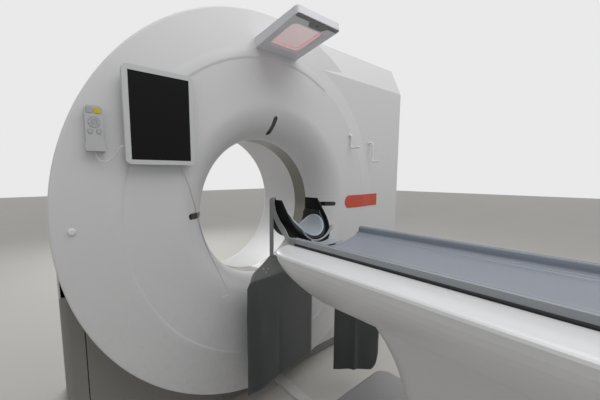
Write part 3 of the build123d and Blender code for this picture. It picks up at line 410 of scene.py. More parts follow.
# cloth simulation of a closed pad or a hung sheet; sewn points stay where they are
def simulateCloth(piece, sewn, frames, cap, stiffness, bending, pressure=0.0, gravity=0.0):
    rest = [vertex.co.copy() for vertex in piece.data.vertices]
    group = piece.vertex_groups.new(name="sewn")
    group.add(sewn, 1.0, "REPLACE")
    cloth = piece.modifiers.new("cloth", "CLOTH")
    settings = cloth.settings
    settings.quality = 6
    settings.mass = 0.4
    settings.tension_stiffness = stiffness
    settings.compression_stiffness = stiffness
    settings.shear_stiffness = stiffness / 2
    settings.bending_stiffness = bending
    settings.vertex_group_mass = "sewn"
    settings.use_pressure = pressure > 0
    settings.uniform_pressure_force = pressure
    settings.effector_weights.gravity = gravity
    cloth.point_cache.frame_start = 1
    cloth.point_cache.frame_end = frames
    for step in range(1, frames + 1):
        bpy.context.scene.frame_set(step)
    evaluated = piece.evaluated_get(bpy.context.evaluated_depsgraph_get())
    moved = [vertex.co.copy() for vertex in evaluated.data.vertices]
    piece.modifiers.remove(cloth)
    for vertex, start, end in zip(piece.data.vertices, rest, moved):
        step = end - start
        vertex.co = start + step * min(1.0, cap / max(step.length, 1e-9))
    piece.vertex_groups.clear()
    bpy.context.scene.frame_set(1)


# a pad from closed rings of points: the end rings and the places sewnTest names hold, the rest swells
def makePad(name, rings, material, sewnTest, cap, endRows=2, frames=12, pressure=1.2, bending=2.0):
    piece = skinFromRows(name, rings, material, closed=True)
    tall, wide = len(rings), len(rings[0])
    sewn = [i * wide + j for i in range(tall) for j in range(wide)
            if sewnTest(j) or min(i, tall - 1 - i) < endRows]
    simulateCloth(piece, sewn, frames, cap, 30.0, bending, pressure=pressure)
    return piece


# a short round piece that faces the front, its rims rounded: studs, the cap and the marks
def makeButton(name, look, centre, turn=0.0, smooth=True):
    deselectAll()
    bpy.ops.mesh.primitive_cylinder_add(vertices=look["sides"], radius=look["radius"], depth=look["height"],
                                        location=centre, rotation=(math.pi / 2, 0, turn))
    piece = settlePrimitive(name)
    applyModifier(piece, "BEVEL", width=look["rim"], segments=look["rimSteps"])
    for polygon in piece.data.polygons:
        polygon.use_smooth = smooth
    return piece


# the mattress: a shallow channel with a rolled lip and two sewn lines along each side
mattressLook = {
    "frontY": -0.549,
    "rearY": -2.940,
    "halfWidth": 0.197,
    "lipTop": 0.927,
    "lipWidth": 0.014,
    "sideZ": 0.902,
    "bedZ": 0.870,
    "undersideSide": 0.899,
    "undersideMiddle": 0.850,
    "gap": 0.0008,
    "seams": (0.168, 0.152),
    "seamSteps": (0.005, 0.0015, 0, -0.0015, -0.005),
    "seamDepth": 0.003,
    "betweenSeams": 0.0006,
    "bedStations": (0.14, 0.12, 0.095, 0.07, 0.045, 0.02),
    "underStations": 11,
    "heldBeyond": 0.18,
    "endSpots": (0.0, 0.002, 0.006, 0.012, 0.02),
    "lengthSteps": 90,
    "colour": (0.235, 0.262, 0.31),
    "tint": (0.205, 0.228, 0.27),
}


def channelHeight(x, middle, side, half):
    radius = (half ** 2 + (side - middle) ** 2) / (2 * (side - middle))
    return middle + radius - math.sqrt(radius ** 2 - min(abs(x), half) ** 2)


def mattressUnderside(look, x):
    return channelHeight(x, look["undersideMiddle"], look["undersideSide"], look["halfWidth"]) + look["gap"]


def mattressSection(look):
    half, lipTop, sideZ = look["halfWidth"], look["lipTop"], look["sideZ"]
    inner = half - look["lipWidth"]
    highSeam, lowSeam = look["seams"]
    dent = look["seamSteps"][1]
    stations = [inner, inner - 0.004, inner - 0.009]
    for seam in look["seams"]:
        stations += [seam + step for step in look["seamSteps"]]
    top = []
    for x in (*stations, *look["bedStations"]):
        z = channelHeight(x, look["bedZ"], sideZ, inner)
        if x in look["seams"]:
            z -= look["seamDepth"]
        if lowSeam + dent < x < highSeam - dent:
            z += look["betweenSeams"]
        top.append((x, z))
    lip = [
        (half, look["undersideSide"] + 0.001),
        (half, sideZ + 0.004),
        (half + 0.0002, lipTop - 0.006),
        (half - 0.0018, lipTop - 0.0015),
        (half - 0.005, lipTop),
        (half - 0.009, lipTop),
        (inner + 0.002, lipTop - 0.0015),
        (inner, lipTop - 0.006),
        (inner - 0.0005, sideZ + 0.005),
    ]
    right = lip + top
    under = []
    for step in range(1, look["underStations"] + 1):
        x = half * (2 * step / (look["underStations"] + 1) - 1)
        under.append((x, mattressUnderside(look, x)))
    return right + [(-x, z) for x, z in reversed(right)] + under


def makeMattress(look):
    section = mattressSection(look)
    length = look["frontY"] - look["rearY"]
    ends, steps = look["endSpots"], look["lengthSteps"]
    spots = [*ends]
    spots += [ends[-1] + (length - 2 * ends[-1]) * step / steps for step in range(1, steps)]
    spots += [length - spot for spot in reversed(ends)]
    rows = []
    for spot in spots:
        edge = min(spot, length - spot)
        thin = 0.12 * max(0.0, 1 - edge / 0.004) ** 2
        row = []
        for x, z in section:
            base = mattressUnderside(look, x)
            row.append((x * (1 - 0.002 * thin), look["rearY"] + spot, base + (z - base) * (1 - thin)))
        rows.append(row)
    material = skinMaterial(
        "mattressVinyl", look["colour"], look["tint"], rough=0.42, spread=0.16, cloud=7.0, amount=0.6,
        grain=1400.0, depth=0.00012, coat=0.12, coatRough=0.35, sheen=0.15,
    )

    def isSewn(j):
        x = abs(section[j][0])
        onSeam = any(abs(x - seam) < 0.0017 for seam in look["seams"])
        return onSeam or x > look["heldBeyond"] or j >= len(section) - look["underStations"]

    piece = makePad("mattressCover", rows, material, isSewn, cap=0.003, endRows=3, frames=14, bending=1.0)
    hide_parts("mattress")
    finishPiece(piece, "tabletop")


makeMattress(mattressLook)
print("mattress made")


# the head holder's shell: a round-bottomed channel whose wings lean back
holderLook = {
    "centreZ": 0.978,
    "outer": 0.112,
    "wall": 0.008,
    "frontY": -0.293,
    "rearY": -0.500,
    "topZ": 1.045,
    "leanTop": (-0.370, 1.045),  # the ends of the wings' rear edge, as y and z
    "leanFoot": (-0.500, 0.866),
    "rim": 0.0016,
}


# how far back the shell reaches at a height
def holderRear(look, z):
    topY, topZ = look["leanTop"]
    footY, footZ = look["leanFoot"]
    return max(look["rearY"], footY + (topY - footY) * (z - footZ) / (topZ - footZ))


def makeHolderShell(look):
    long = look["frontY"] - look["rearY"] + 0.02
    deselectAll()
    bpy.ops.mesh.primitive_cylinder_add(
        vertices=96, radius=look["outer"], depth=long, end_fill_type="NOTHING",
        location=(0, look["frontY"] - long / 2, look["centreZ"]), rotation=alongY)
    piece = settlePrimitive("holderShell")
    deleteFaces(piece, lambda spot: spot.z > look["centreZ"])
    selectByPlace(piece, "EDGE", lambda spot: abs(spot.z - look["centreZ"]) < 1e-4)
    rise = look["topZ"] - look["centreZ"]
    bpy.ops.mesh.extrude_region_move(TRANSFORM_OT_translate={"value": (0, 0, rise)})
    topY, topZ = look["leanTop"]
    footY, footZ = look["leanFoot"]
    cuts = (((0, footY, footZ), (0, footZ - topZ, topY - footY)), ((0, look["rearY"], 0), (0, -1, 0)))
    for place, normal in cuts:
        bpy.ops.mesh.select_all(action="SELECT")
        bpy.ops.mesh.bisect(plane_co=place, plane_no=normal, clear_outer=True)
    bpy.ops.object.mode_set(mode="OBJECT")
    thicken(piece, look["wall"], -1.0, look["rim"], use_even_offset=True)
    return smoothByAngle(piece)


# the tongue that carries the shell, under the mattress's end
tongueLook = {"half": 0.056, "rearY": -0.547, "frontY": -0.345, "low": 0.8470, "high": 0.8655,
              "taper": 0.62, "rim": 0.003}


def makeTongue(look):
    rear, front, low, high = look["rearY"], look["frontY"], look["low"], look["high"]
    deselectAll()
    bpy.ops.mesh.primitive_cube_add(size=1, location=(0, (rear + front) / 2, (low + high) / 2),
                                    scale=(2 * look["half"], front - rear, high - low))
    piece = settlePrimitive("holderTongue")
    selectByPlace(piece, "EDGE", lambda spot: spot.y > front - 0.001)
    bpy.ops.transform.resize(value=(look["taper"], 1, 1), center_override=(0, front, low))
    bpy.ops.object.mode_set(mode="OBJECT")
    applyModifier(piece, "BEVEL", width=look["rim"], segments=3)
    return smoothByAngle(piece)


# a point of the round bottom, by the turn from its lowest line
def cradlePoint(radius, turn, y):
    return radius * math.sin(turn), y, holderLook["centreZ"] - radius * math.cos(turn)


# black padding inside the shell, up to the foot of the wings
linerLook = {"thickness": 0.0175, "gap": 0.0005, "frontY": -0.296, "rearY": -0.474, "rearMargin": 0.012,
             "wings": (0.992, 0.990, 0.986, 0.982), "thinBelow": 0.016, "thinnest": 0.12,
             "turns": 36, "under": 12, "over": 14, "round": 0.006, "heel": 0.002}


def makeLiner(look, holder, material):
    reach = holder["outer"] - holder["wall"] - look["gap"]
    wings, turns, under, over = look["wings"], look["turns"], look["under"], look["over"]
    front, heel = look["frontY"], look["heel"]
    stations = [(-1, z) for z in wings]
    stations += [(0, -math.pi / 2 + math.pi * step / turns) for step in range(turns + 1)]
    stations += [(1, z) for z in reversed(wings)]
    rows = []
    for side, value in stations:
        height = value if side else holder["centreZ"] - reach * math.cos(value)
        fade = min(1.0, max(look["thinnest"], (wings[0] + 0.001 - height) / look["thinBelow"])) ** 0.5
        thick, soft = look["thickness"] * fade, look["round"] * fade
        rear = max(holderRear(holder, height) + look["rearMargin"], look["rearY"])
        rim = [(0.0, heel), (0.0, thick - soft)]
        rim += [(soft * (1 - math.cos(a)), thick - soft + soft * math.sin(a))
                for a in (0.4, 0.8, 1.2, math.pi / 2)]
        ring = [(front - heel, 0.0)]
        ring += [(between((front, rear), step / under), 0.0) for step in range(1, under)]
        ring += [(rear + heel, 0.0)]
        ring += [(rear + step, inward) for step, inward in rim]
        ring += [(between((rear + soft, front - soft), step / over), thick) for step in range(1, over)]
        ring += [(front - step, inward) for step, inward in reversed(rim)]
        row = []
        for y, inward in ring:
            radius = reach - inward
            row.append((radius * side, y, value) if side else cradlePoint(radius, value, y))
        rows.append(row)
    last = len(rows[0]) - 1
    return makePad("headLiner", rows, material, lambda j: j < under + 2 or j == last, cap=0.0012, endRows=3)


# a strip of padding over the tongue, from the mattress to the shell: each pair is its rear and its front
tongueCoverLook = {"y": (-0.5480, -0.5010), "half": (0.084, 0.062), "top": (0.8755, 0.8770),
                   "curve": (0.95, 4.4), "thickness": 0.0055, "endShare": 0.35, "edge": 0.006,
                   "edgeDrop": 0.75, "tuck": 0.985, "rows": 17, "columns": 20}


def makeTongueCover(look, material):
    rows = []
    last, columns = look["rows"] - 1, look["columns"]
    for i in range(look["rows"]):
        share = i / last
        y, top = between(look["y"], share), between(look["top"], share)
        half, curve = between(look["half"], share ** 0.8), between(look["curve"], share ** 1.5)
        fat = look["thickness"] * min(1.0, look["endShare"] * (1 + min(i, last - i)))
        upper = [half * math.sin(math.pi / 2 * (2 * j / columns - 1)) for j in range(columns + 1)]
        row = []
        for x in upper:
            edge = 1 - min(1.0, (half - abs(x)) / look["edge"])
            row.append((x, y, top + curve * x ** 2 - fat * look["edgeDrop"] * edge ** 2))
        for x in reversed(upper):
            inner = x * look["tuck"]
            row.append((inner, y, top + curve * inner ** 2 - fat))
        rows.append(row)
    return makePad("tongueCover", rows, material, lambda j: j > columns, cap=0.0012)


# the holder's cushions: an oval pad in the liner and a thin band along the shell's rear edge
cushionLook = {
    "padRadius": 0.0858,
    "padTurn": 1.5,
    "padY": -0.382,
    "padHalf": 0.089,
    "padThickness": 0.010,
    "padCrown": 0.12,
    "padRows": 49,
    "bandRadius": 0.1040,
    "bandY": (-0.4835, -0.4750),
    "bandTop": 0.935,
    "bandStand": 0.0046,
    "bandDepth": 0.0038,
    "bandEnd": 0.45,
    "bandFlare": (1.4, 0.72),  # how much broader at its right end, and from which share on
    "bandRows": 33,
    "bandPoints": 14,
    "colour": (0.33, 0.365, 0.41),
    "tint": (0.29, 0.32, 0.365),
}


# an oval when rolled flat, lying in the cradle from side to side
def makeOvalPad(look, material):
    half, last = look["padTurn"], look["padRows"] - 1
    under, over = 22, 20
    rows = []
    for i in range(last + 1):
        turn = half * math.sin(math.pi / 2 * (2 * i / last - 1))
        reach = look["padHalf"] * math.sqrt(max(1 - (turn / half) ** 2, 0.0009))
        fat = look["padThickness"] * min(1.0, reach / 0.016) ** 0.8
        soft = min(0.008, reach * 0.7)
        rim = [(reach - soft * (1 - math.sin(a)), fat * (1 - math.cos(a)) * 0.5) for a in (1.1, 1.45)]
        rim += [(reach - soft * (1 - math.cos(a)), fat * (0.5 + 0.5 * math.sin(a)))
                for a in (0.1, 0.5, 0.9, 1.3)]
        ring = [(reach * 0.96 * (1 - 2 * step / under), 0.0) for step in range(under + 1)]
        ring += [(-y, inward) for y, inward in rim]
        for step in range(over + 1):
            crown = 1 + look["padCrown"] * math.sin(math.pi * step / over)
            ring.append(((soft - reach) * (1 - 2 * step / over), fat * crown))
        ring += reversed(rim)
        rows.append([cradlePoint(look["padRadius"] - inward, turn, look["padY"] + y) for y, inward in ring])
    return makePad("ovalHeadPad", rows, material, lambda j: j <= under, cap=0.002, endRows=3, frames=14,
                   pressure=1.5)


# a cosine or sine squared off towards its ends
def squared(value):
    return math.copysign(abs(value) ** 0.7, value)


def makeNeckBand(look, material):
    rear, front = look["bandY"]
    last, points, thin = look["bandRows"] - 1, look["bandPoints"], look["bandEnd"]
    extra, start = look["bandFlare"]
    reach = math.acos((holderLook["centreZ"] - look["bandTop"]) / (look["bandRadius"] - 0.004))
    rows = []
    for step in range(last + 1):
        turn = between((-reach, reach), step / last)
        fat = between((thin, 1.0), min(1.0, (min(step, last - step) / 3) ** 0.5))
        flare = 1 + extra * max(0.0, step / last - start) / (1 - start)
        row = []
        for angle in (2 * math.pi * k / points for k in range(points)):
            y = (rear + front) / 2 + (front - rear) / 2 * fat * flare * squared(math.cos(angle))
            inward = look["bandStand"] + look["bandDepth"] * fat * squared(math.sin(angle))
            row.append(cradlePoint(look["bandRadius"] - inward, turn, y))
        rows.append(row)
    return makePad("neckBand", rows, material, lambda j: j >= points // 2, cap=0.0008)


padVinyl = skinMaterial(
    "padVinyl", cushionLook["colour"], cushionLook["tint"], rough=0.34, spread=0.14, cloud=14.0,
    grain=1500.0, depth=0.0001, coat=0.25, coatRough=0.3,
)
linerVinyl = skinMaterial(
    "linerVinyl", (0.007, 0.0073, 0.009), (0.012, 0.0125, 0.015), rough=0.32, spread=0.14, cloud=14.0,
    grain=1500.0, depth=0.0001, specular=0.2, coat=0.1, coatRough=0.25,
)
holderShell = makeHolderShell(holderLook)
holderTongue = makeTongue(tongueLook)
headLiner = makeLiner(linerLook, holderLook, linerVinyl)
ovalPad = makeOvalPad(cushionLook, padVinyl)
neckBand = makeNeckBand(cushionLook, padVinyl)
tongueCover = makeTongueCover(tongueCoverLook, padVinyl)
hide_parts("head_holder")
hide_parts("head_cushions")
holderSlot = slotOf["head_holder"]
for piece in (holderShell, holderTongue):
    finishPiece(piece, "tabletop", materials[holderSlot])
for pad in (headLiner, ovalPad, neckBand, tongueCover):
    finishPiece(pad, "tabletop")
print("head holder made")


# the restraints: heavy sheets hung from straps at the head end
sheetLook = {"warp": (0.058, 0.064, 0.063), "weft": (0.043, 0.048, 0.047), "fade": (0.085, 0.095, 0.097),
             "thickness": 0.0022}
strapLook = {"warp": (0.2, 0.215, 0.21), "weft": (0.16, 0.172, 0.168), "fade": (0.25, 0.26, 0.255),
             "thickness": 0.0028, "tieThickness": 0.0042}
sheetCloth = clothMaterial("sheetCloth", sheetLook, 900.0, 0.00015, 0.5, sheen=0.25, sheenRough=0.4)
strapCloth = clothMaterial("strapCloth", strapLook, 700.0, 0.0003, 0.7, sheen=0.3)


# a sheet hung in an upright plane: outline places it by the share across and down, ripple stands it out
def hungSheet(name, material, place, turn, outline, ripple, columns=33, count=47, cap=0.01):
    direction = Vector((math.cos(turn), math.sin(turn), 0))
    outward = Vector((math.sin(turn), -math.cos(turn), 0))
    rows = []
    for down in (i / (count - 1) for i in range(count)):
        row = []
        for across in (j / (columns - 1) for j in range(columns)):
            u, z = outline(across, down)
            row.append(Vector((*place, z)) + direction * u + outward * ripple(across, down))
        rows.append(row)
    piece = skinFromRows(name, rows, material)
    simulateCloth(piece, list(range(columns)), 16, cap, 60.0, 8.0, gravity=0.35)
    applyModifier(piece, "SOLIDIFY", thickness=sheetLook["thickness"], offset=0.0)
    return piece


# a flat strap through stations of point, direction across and width
def strapAlong(name, stations, thickness, steps=6):
    points = [Vector(point) for point, _, _ in stations]
    sides = [Vector(side).normalized() for _, side, _ in stations]
    widths = [width for _, _, width in stations]
    rows = []
    last = len(points) - 1
    for i in range(last):
        before, after = points[max(i - 1, 0)], points[min(i + 2, last)]
        a, b = points[i], points[i + 1]
        for step in range(steps if i < last - 1 else steps + 1):
            t = step / steps
            spot = 0.5 * (
                2 * a + (b - before) * t
                + (2 * before - 5 * a + 4 * b - after) * t ** 2
                + (3 * a - before - 3 * b + after) * t ** 3
            )
            side = sides[i].lerp(sides[i + 1], t).normalized()
            half = between((widths[i], widths[i + 1]), t) / 2
            rows.append([spot + side * half * share for share in (-1, -0.9, -0.45, 0, 0.45, 0.9, 1)])
    piece = skinFromRows(name, rows, strapCloth)
    thicken(piece, thickness, 0.0, thickness * 0.3, segments=2, angle=0.9)
    return piece


# one smooth swell about a centre
def swell(value, centre, width):
    return math.exp(-((value - centre) / width) ** 2)


leftRestraint = {
    "place": (-0.116, -0.311),
    "turn": math.radians(7.5),
    "sides": (-0.148, 0.295),
    "top": 0.708,
    "topSlope": 0.04,
    "bottom": 0.200,
    "corner": 0.026,
    "anchor": 1.045,
    "keep": 0.72,
    # over the wing's edge and down inside it: out from the place, up, width
    "hang": (
        (0, 0.788, 0.026), (0, 0.87, 0.027), (0, 0.95, 0.027), (0, 1.02, 0.027), (-0.0005, 1.040, 0.027),
        (0.0015, 1.0475, 0.027), (0.0080, 1.0505, 0.027), (0.0140, 1.0470, 0.027), (0.0148, 1.038, 0.027),
        (0.0146, 1.020, 0.025),
    ),
    "tie": (
        ((-0.2095, -0.564, 0.911), (0, 0, 1), 0.026),
        ((-0.2095, -0.544, 0.912), (0, 0, 1), 0.026),
        ((-0.1985, -0.517, 0.915), (0, 0, 1), 0.026),
        ((-0.1640, -0.468, 0.915), (0, -0.1, 1), 0.027),
        ((-0.1330, -0.414, 0.922), (0.05, -0.4, 1), 0.028),
        ((-0.1200, -0.366, 0.948), (0, -0.8, 0.7), 0.029),
        ((-0.1190, -0.338, 0.982), (0, -1, 0.4), 0.028),
        ((-0.1188, -0.326, 1.014), (0, -1, 0.15), 0.026),
        ((-0.1180, -0.322, 1.040), (0, -1, 0.05), 0.024),
        ((-0.1130, -0.321, 1.0535), (0, -1, 0), 0.024),
        ((-0.1060, -0.321, 1.0535), (0, -1, 0), 0.022),
    ),
}
# the apron's left edge is how far out it lies at a depth below the strap
apronLook = {
    "depths": (0.002, 0.120),
    "levels": (0.797, 0.691),
    "leftEdge": ((0.0, 0.013), (0.011, 0.027), (0.035, 0.060), (0.053, 0.094), (0.066, 0.111),
                 (0.082, 0.122), (0.105, 0.129), (0.125, 0.131)),
    "rightEdge": (0.013, 0.285),
    "rightDepth": 0.116,
    "rightCurve": 1.15,
}


def leftOutline(across, down):
    look = leftRestraint
    u = between(look["sides"], across)
    corner, edge = look["corner"], u - look["sides"][0]
    drop = 0.0 if edge > corner else corner - math.sqrt(max(corner ** 2 - (corner - edge) ** 2, 0))
    return u, between((look["top"] - look["topSlope"] * edge - drop, look["bottom"]), down)


# a slow wave, puckers under the strap, a crease, and a left edge that curls in
def leftRipple(across, down):
    stand, sway, pucker, crease, curl = 0.0062, 0.003, 0.0022, 0.0022, 0.010
    wave = stand + sway * math.sin(6.0 * across + 0.6) * down
    wave += pucker * math.sin(17 * down + 3.0 * across) * swell(down, 0.25, 0.22)
    wave -= crease * swell(across, 0.44, 0.012) * min(1, 2.5 * down)
    return wave - curl * swell(across, 0, 0.10) * math.sin(math.pi * min(1, down * 1.1 + 0.05))


def apronOutline(across, down):
    look = apronLook
    depth = between(look["depths"], down)
    left = 0.0
    for (low, near), (high, far) in zip(look["leftEdge"], look["leftEdge"][1:]):
        if low <= depth <= high:
            left = -between((near, far), (depth - low) / (high - low))
    right = between(look["rightEdge"], min(1.0, depth / look["rightDepth"]) ** look["rightCurve"])
    return between((left, right), across), between(look["levels"], down)


def apronRipple(across, down):
    stand, sway = 0.0015, 0.002
    return stand + sway * math.sin(9 * across) * down


def makeLeftRestraint(look):
    x, y = look["place"]
    sheet = hungSheet("leftSheet", sheetCloth, (x, y), look["turn"], leftOutline, leftRipple)
    apron = hungSheet("leftApron", strapCloth, (x, y), look["turn"], apronOutline, apronRipple,
                      columns=25, count=17, cap=0.0008)
    stations = [((x + out, y, z), (0, 1, 0), width) for out, z, width in look["hang"]]
    hang = strapAlong("leftHangingStrap", stations, strapLook["thickness"])
    tie = strapAlong("leftTieStrap", look["tie"], strapLook["tieThickness"])
    return sheet, apron, hang, tie


leftSheet, leftApron, leftHang, leftTie = makeLeftRestraint(leftRestraint)
print("left restraint made")


# press studs on the apron
studLook = {"radius": 0.0045, "height": 0.003, "sides": 24, "rim": 0.0012, "rimSteps": 3, "outward": 0.0041,
            "spots": ((-0.055, 0.748), (-0.027, 0.742), (-0.040, 0.728))}
studMetal = skinMaterial("studMetal", (0.55, 0.5, 0.38), (0.42, 0.38, 0.28), rough=0.28, cloud=120.0,
                         metal=1.0)


def makeStud(number, u, z, restraint):
    (x, y), turn, outward = restraint["place"], restraint["turn"], studLook["outward"]
    x += math.cos(turn) * u + math.sin(turn) * outward
    y += math.sin(turn) * u - math.cos(turn) * outward
    stud = makeButton(f"apronStud{number}", studLook, (x, y, z), turn)
    return finishPiece(stud, "tabletop", studMetal)


studs = [makeStud(number, u, z, leftRestraint) for number, (u, z) in enumerate(studLook["spots"], 1)]
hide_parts("restraint_left")
for piece in (leftSheet, leftApron, leftHang, leftTie):
    finishPiece(piece, "tabletop")
for piece in (leftSheet, leftApron, leftHang, *studs):
    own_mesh(piece)


rightRestraint = {
    "near": (0.210, -0.402),
    "far": (0.405, -0.533),
    "inset": 0.0015,
    "top": 0.599,
    "bottom": 0.150,
    "slant": 0.012,
    "corner": (0.045, 0.09),
    "anchor": 0.93,
    "keep": 0.72,
}
rightWidth = math.dist(rightRestraint["near"], rightRestraint["far"])
rightTurn = math.atan2(rightRestraint["far"][1] - rightRestraint["near"][1],
                       rightRestraint["far"][0] - rightRestraint["near"][0])


def rightOutline(across, down):
    look = rightRestraint
    inset, (corner, rise) = look["inset"], look["corner"]
    edge = (1 - across) * rightWidth
    lift = 0.0 if edge > corner else rise * (1 - math.sqrt(max(1 - (1 - edge / corner) ** 2, 0)))
    top = look["top"] - look["slant"] * across
    bottom = look["bottom"] + look["slant"] * (1 - across) + lift
    return between((inset, rightWidth - inset), across), between((top, bottom), down)


# one deep fold and a slow wave
def rightRipple(across, down):
    fold, sway = 0.010, 0.003
    wave = fold * swell(across, 0.45, 0.06) * (0.3 + 0.7 * down)
    return wave + sway * math.sin(8 * across + 1.1) * down


def makeRightRestraint(look):
    sheet = hungSheet("rightSheet", sheetCloth, look["near"], rightTurn, rightOutline, rightRipple,
                      columns=29, count=45)
    along = (math.cos(rightTurn), math.sin(rightTurn), 0)
    middle = [(a + b) / 2 for a, b in zip(look["near"], look["far"])]
    strap = strapAlong("rightStrap", [
        ((0.2095, -0.590, 0.9105), (0, 0, 1), 0.024),
        ((0.2095, -0.566, 0.9105), (0, 0, 1), 0.024),
        ((0.2160, -0.540, 0.9090), (0.2, 0, 1), 0.025),
        ((0.2380, -0.513, 0.8950), (0.8, -0.2, 0.7), 0.027),
        ((0.2480, -0.503, 0.8530), along, 0.028),
        ((0.256, -0.494, 0.700), along, 0.028),
        ((*middle, 0.588), along, 0.028),
    ], strapLook["thickness"])
    return sheet, strap


rightSheet, rightStrap = makeRightRestraint(rightRestraint)
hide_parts("restraint_right")
for piece in (rightSheet, rightStrap):
    finishPiece(piece, "tabletop")
    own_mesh(piece)
print("right restraint made")


# the hand control's lead, from under its case to the display's side
leadLook = {
    "diameter": 0.004,
    "route": (
        (-0.758, -0.216, 1.232), (-0.758, -0.216, 1.215), (-0.7482, -0.2184, 1.199),
        (-0.7277, -0.2244, 1.195), (-0.7096, -0.2316, 1.210), (-0.699, -0.2364, 1.229),
        (-0.6924, -0.2388, 1.241), (-0.685, -0.240, 1.247), (-0.676, -0.240, 1.2495),
    ),
    "colour": (0.66, 0.66, 0.65),
    "tint": (0.58, 0.58, 0.57),
}


def makeLead(look):
    curve = bpy.data.curves.new("controlLead", "CURVE")
    curve.dimensions = "3D"
    curve.bevel_depth = look["diameter"] / 2
    curve.bevel_resolution = 6
    curve.use_fill_caps = True
    curve.resolution_u = 12
    spline = curve.splines.new("NURBS")
    spline.points.add(len(look["route"]) - 1)
    for point, place in zip(spline.points, look["route"]):
        point.co = (*place, 1)
    spline.order_u = 3
    spline.use_endpoint_u = True
    curve.materials.append(skinMaterial("leadSleeve", look["colour"], look["tint"], rough=0.5,
                                        grain=1600.0, depth=0.00005))
    piece = bpy.data.objects.new("controlLead", curve)
    bpy.context.scene.collection.objects.link(piece)
    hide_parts("remote_cord")
    finishPiece(piece, "stand")


makeLead(leadLook)
print("lead made")


# vinyl edging that caps each side of the tabletop
edgingLook = {"outer": 0.2093, "inner": 0.1985, "top": 0.9268, "foot": 0.9105, "wall": 0.0016,
              "frontY": -0.5465, "rearY": -2.9455, "rim": 0.0007}
edgingVinyl = skinMaterial("edgingVinyl", (0.3, 0.315, 0.335), (0.26, 0.275, 0.295), rough=0.42, cloud=9.0,
                           grain=1300.0, depth=0.0001)


def makeEdging(name, side, look):
    middle = [(look["outer"] + look["inner"]) / 2 * side, (look["frontY"] + look["rearY"]) / 2,
              (look["top"] + look["foot"]) / 2]
    size = (look["outer"] - look["inner"], look["frontY"] - look["rearY"], look["top"] - look["foot"])
    deselectAll()
    bpy.ops.mesh.primitive_cube_add(size=1, location=middle, scale=size)
    piece = settlePrimitive(name)
    deleteFaces(piece, lambda spot: spot.z < look["foot"] + 0.0001 or abs(spot.x) < look["inner"] + 0.0001)
    thicken(piece, look["wall"], -1.0, look["rim"])
    finishPiece(smoothByAngle(piece), "tabletop", edgingVinyl)


for sideName, side in (("left", -1), ("right", 1)):
    makeEdging(sideName + "Edging", side, edgingLook)


# bare orange plate on the right of the front: rounded at its left end, laid on the cover
plateLook = {"left": 0.516, "right": 0.858, "low": 0.953, "high": 1.029, "startY": -0.3, "round": 0.036,
             "columns": 24, "gap": 0.0006, "wall": 0.0012, "rim": 0.0004}
orangePaint = skinMaterial("orangePlate", (0.56, 0.06, 0.016), (0.49, 0.05, 0.013), rough=0.4, amount=0.35,
                           coat=0.3)


def makeOrangePlate(look):
    wide, tall, columns = look["right"] - look["left"], look["high"] - look["low"], look["columns"]
    middle = ((look["left"] + look["right"]) / 2, look["startY"], (look["low"] + look["high"]) / 2)
    deselectAll()
    bpy.ops.mesh.primitive_plane_add(size=1, location=middle, rotation=alongY)
    bpy.context.object.scale = (wide, tall, 1)
    piece = settlePrimitive("orangePlate")
    selectByPlace(piece, "VERT", lambda spot: spot.x < look["left"] + 0.001)
    bpy.ops.mesh.bevel(offset=look["round"], segments=12, affect="VERTICES")
    for step in range(1, columns):
        bpy.ops.mesh.select_all(action="SELECT")
        bpy.ops.mesh.bisect(plane_co=(look["left"] + wide * step / columns, 0, 0), plane_no=(1, 0, 0))
    bpy.ops.object.mode_set(mode="OBJECT")
    applyModifier(piece, "SHRINKWRAP", target=frame["nodes"]["front_cover"], wrap_method="PROJECT",
                  use_project_y=True, use_negative_direction=True, use_positive_direction=True,
                  offset=look["gap"])
    thicken(piece, look["wall"], 1.0, look["rim"], segments=2, angle=0.9)
    finishPiece(piece, "stand", orangePaint)


makeOrangePlate(plateLook)


# the narrow step round the front disc, where its flat face meets its sloping rim: radius and y
stepLook = {
    "axisZ": 0.985,
    "profile": ((0.686, -0.2104), (0.6875, -0.2112), (0.6960, -0.2133), (0.6985, -0.2135), (0.740, -0.2063)),
    "turns": (62.0, 297.0),
    "wall": 0.001,
}


def makeStep(look):
    radius, y = look["profile"][0]
    axis = (0, 0, look["axisZ"])
    low, high = look["turns"]

    def isOutside(spot):
        return not low < math.degrees(math.atan2(spot.z - look["axisZ"], spot.x)) % 360 < high

    deselectAll()
    bpy.ops.mesh.primitive_circle_add(vertices=360, radius=radius, fill_type="NOTHING",
                                      location=(0, y, look["axisZ"]), rotation=alongY)
    piece = settlePrimitive("frontStep")
    bpy.ops.object.mode_set(mode="EDIT")
    bpy.ops.mesh.select_all(action="SELECT")
    for nextRadius, nextY in look["profile"][1:]:
        bpy.ops.mesh.extrude_region_move(TRANSFORM_OT_translate={"value": (0, nextY - y, 0)})
        grow = nextRadius / radius
        bpy.ops.transform.resize(value=(grow, 1, grow), center_override=axis)
        radius, y = nextRadius, nextY
    bpy.ops.object.mode_set(mode="OBJECT")
    deleteFaces(piece, isOutside)
    if sum(polygon.normal.y * polygon.area for polygon in piece.data.polygons) > 0:
        piece.data.flip_normals()
    applyModifier(piece, "SOLIDIFY", thickness=look["wall"], offset=-1.0)
    coverSlot = slotOf["front_cover"]
    finishPiece(smoothByAngle(piece, 0.35), "stand", materials[coverSlot])


makeStep(stepLook)


# domed cap on the left of the front
capLook = {"centre": (-0.837, -0.198, 0.972), "radius": 0.0115, "height": 0.01, "sides": 40, "rim": 0.004,
           "rimSteps": 5}
frontCap = makeButton("frontCap", capLook, capLook["centre"])
finishPiece(frontCap, "stand", materials["hook_white"])
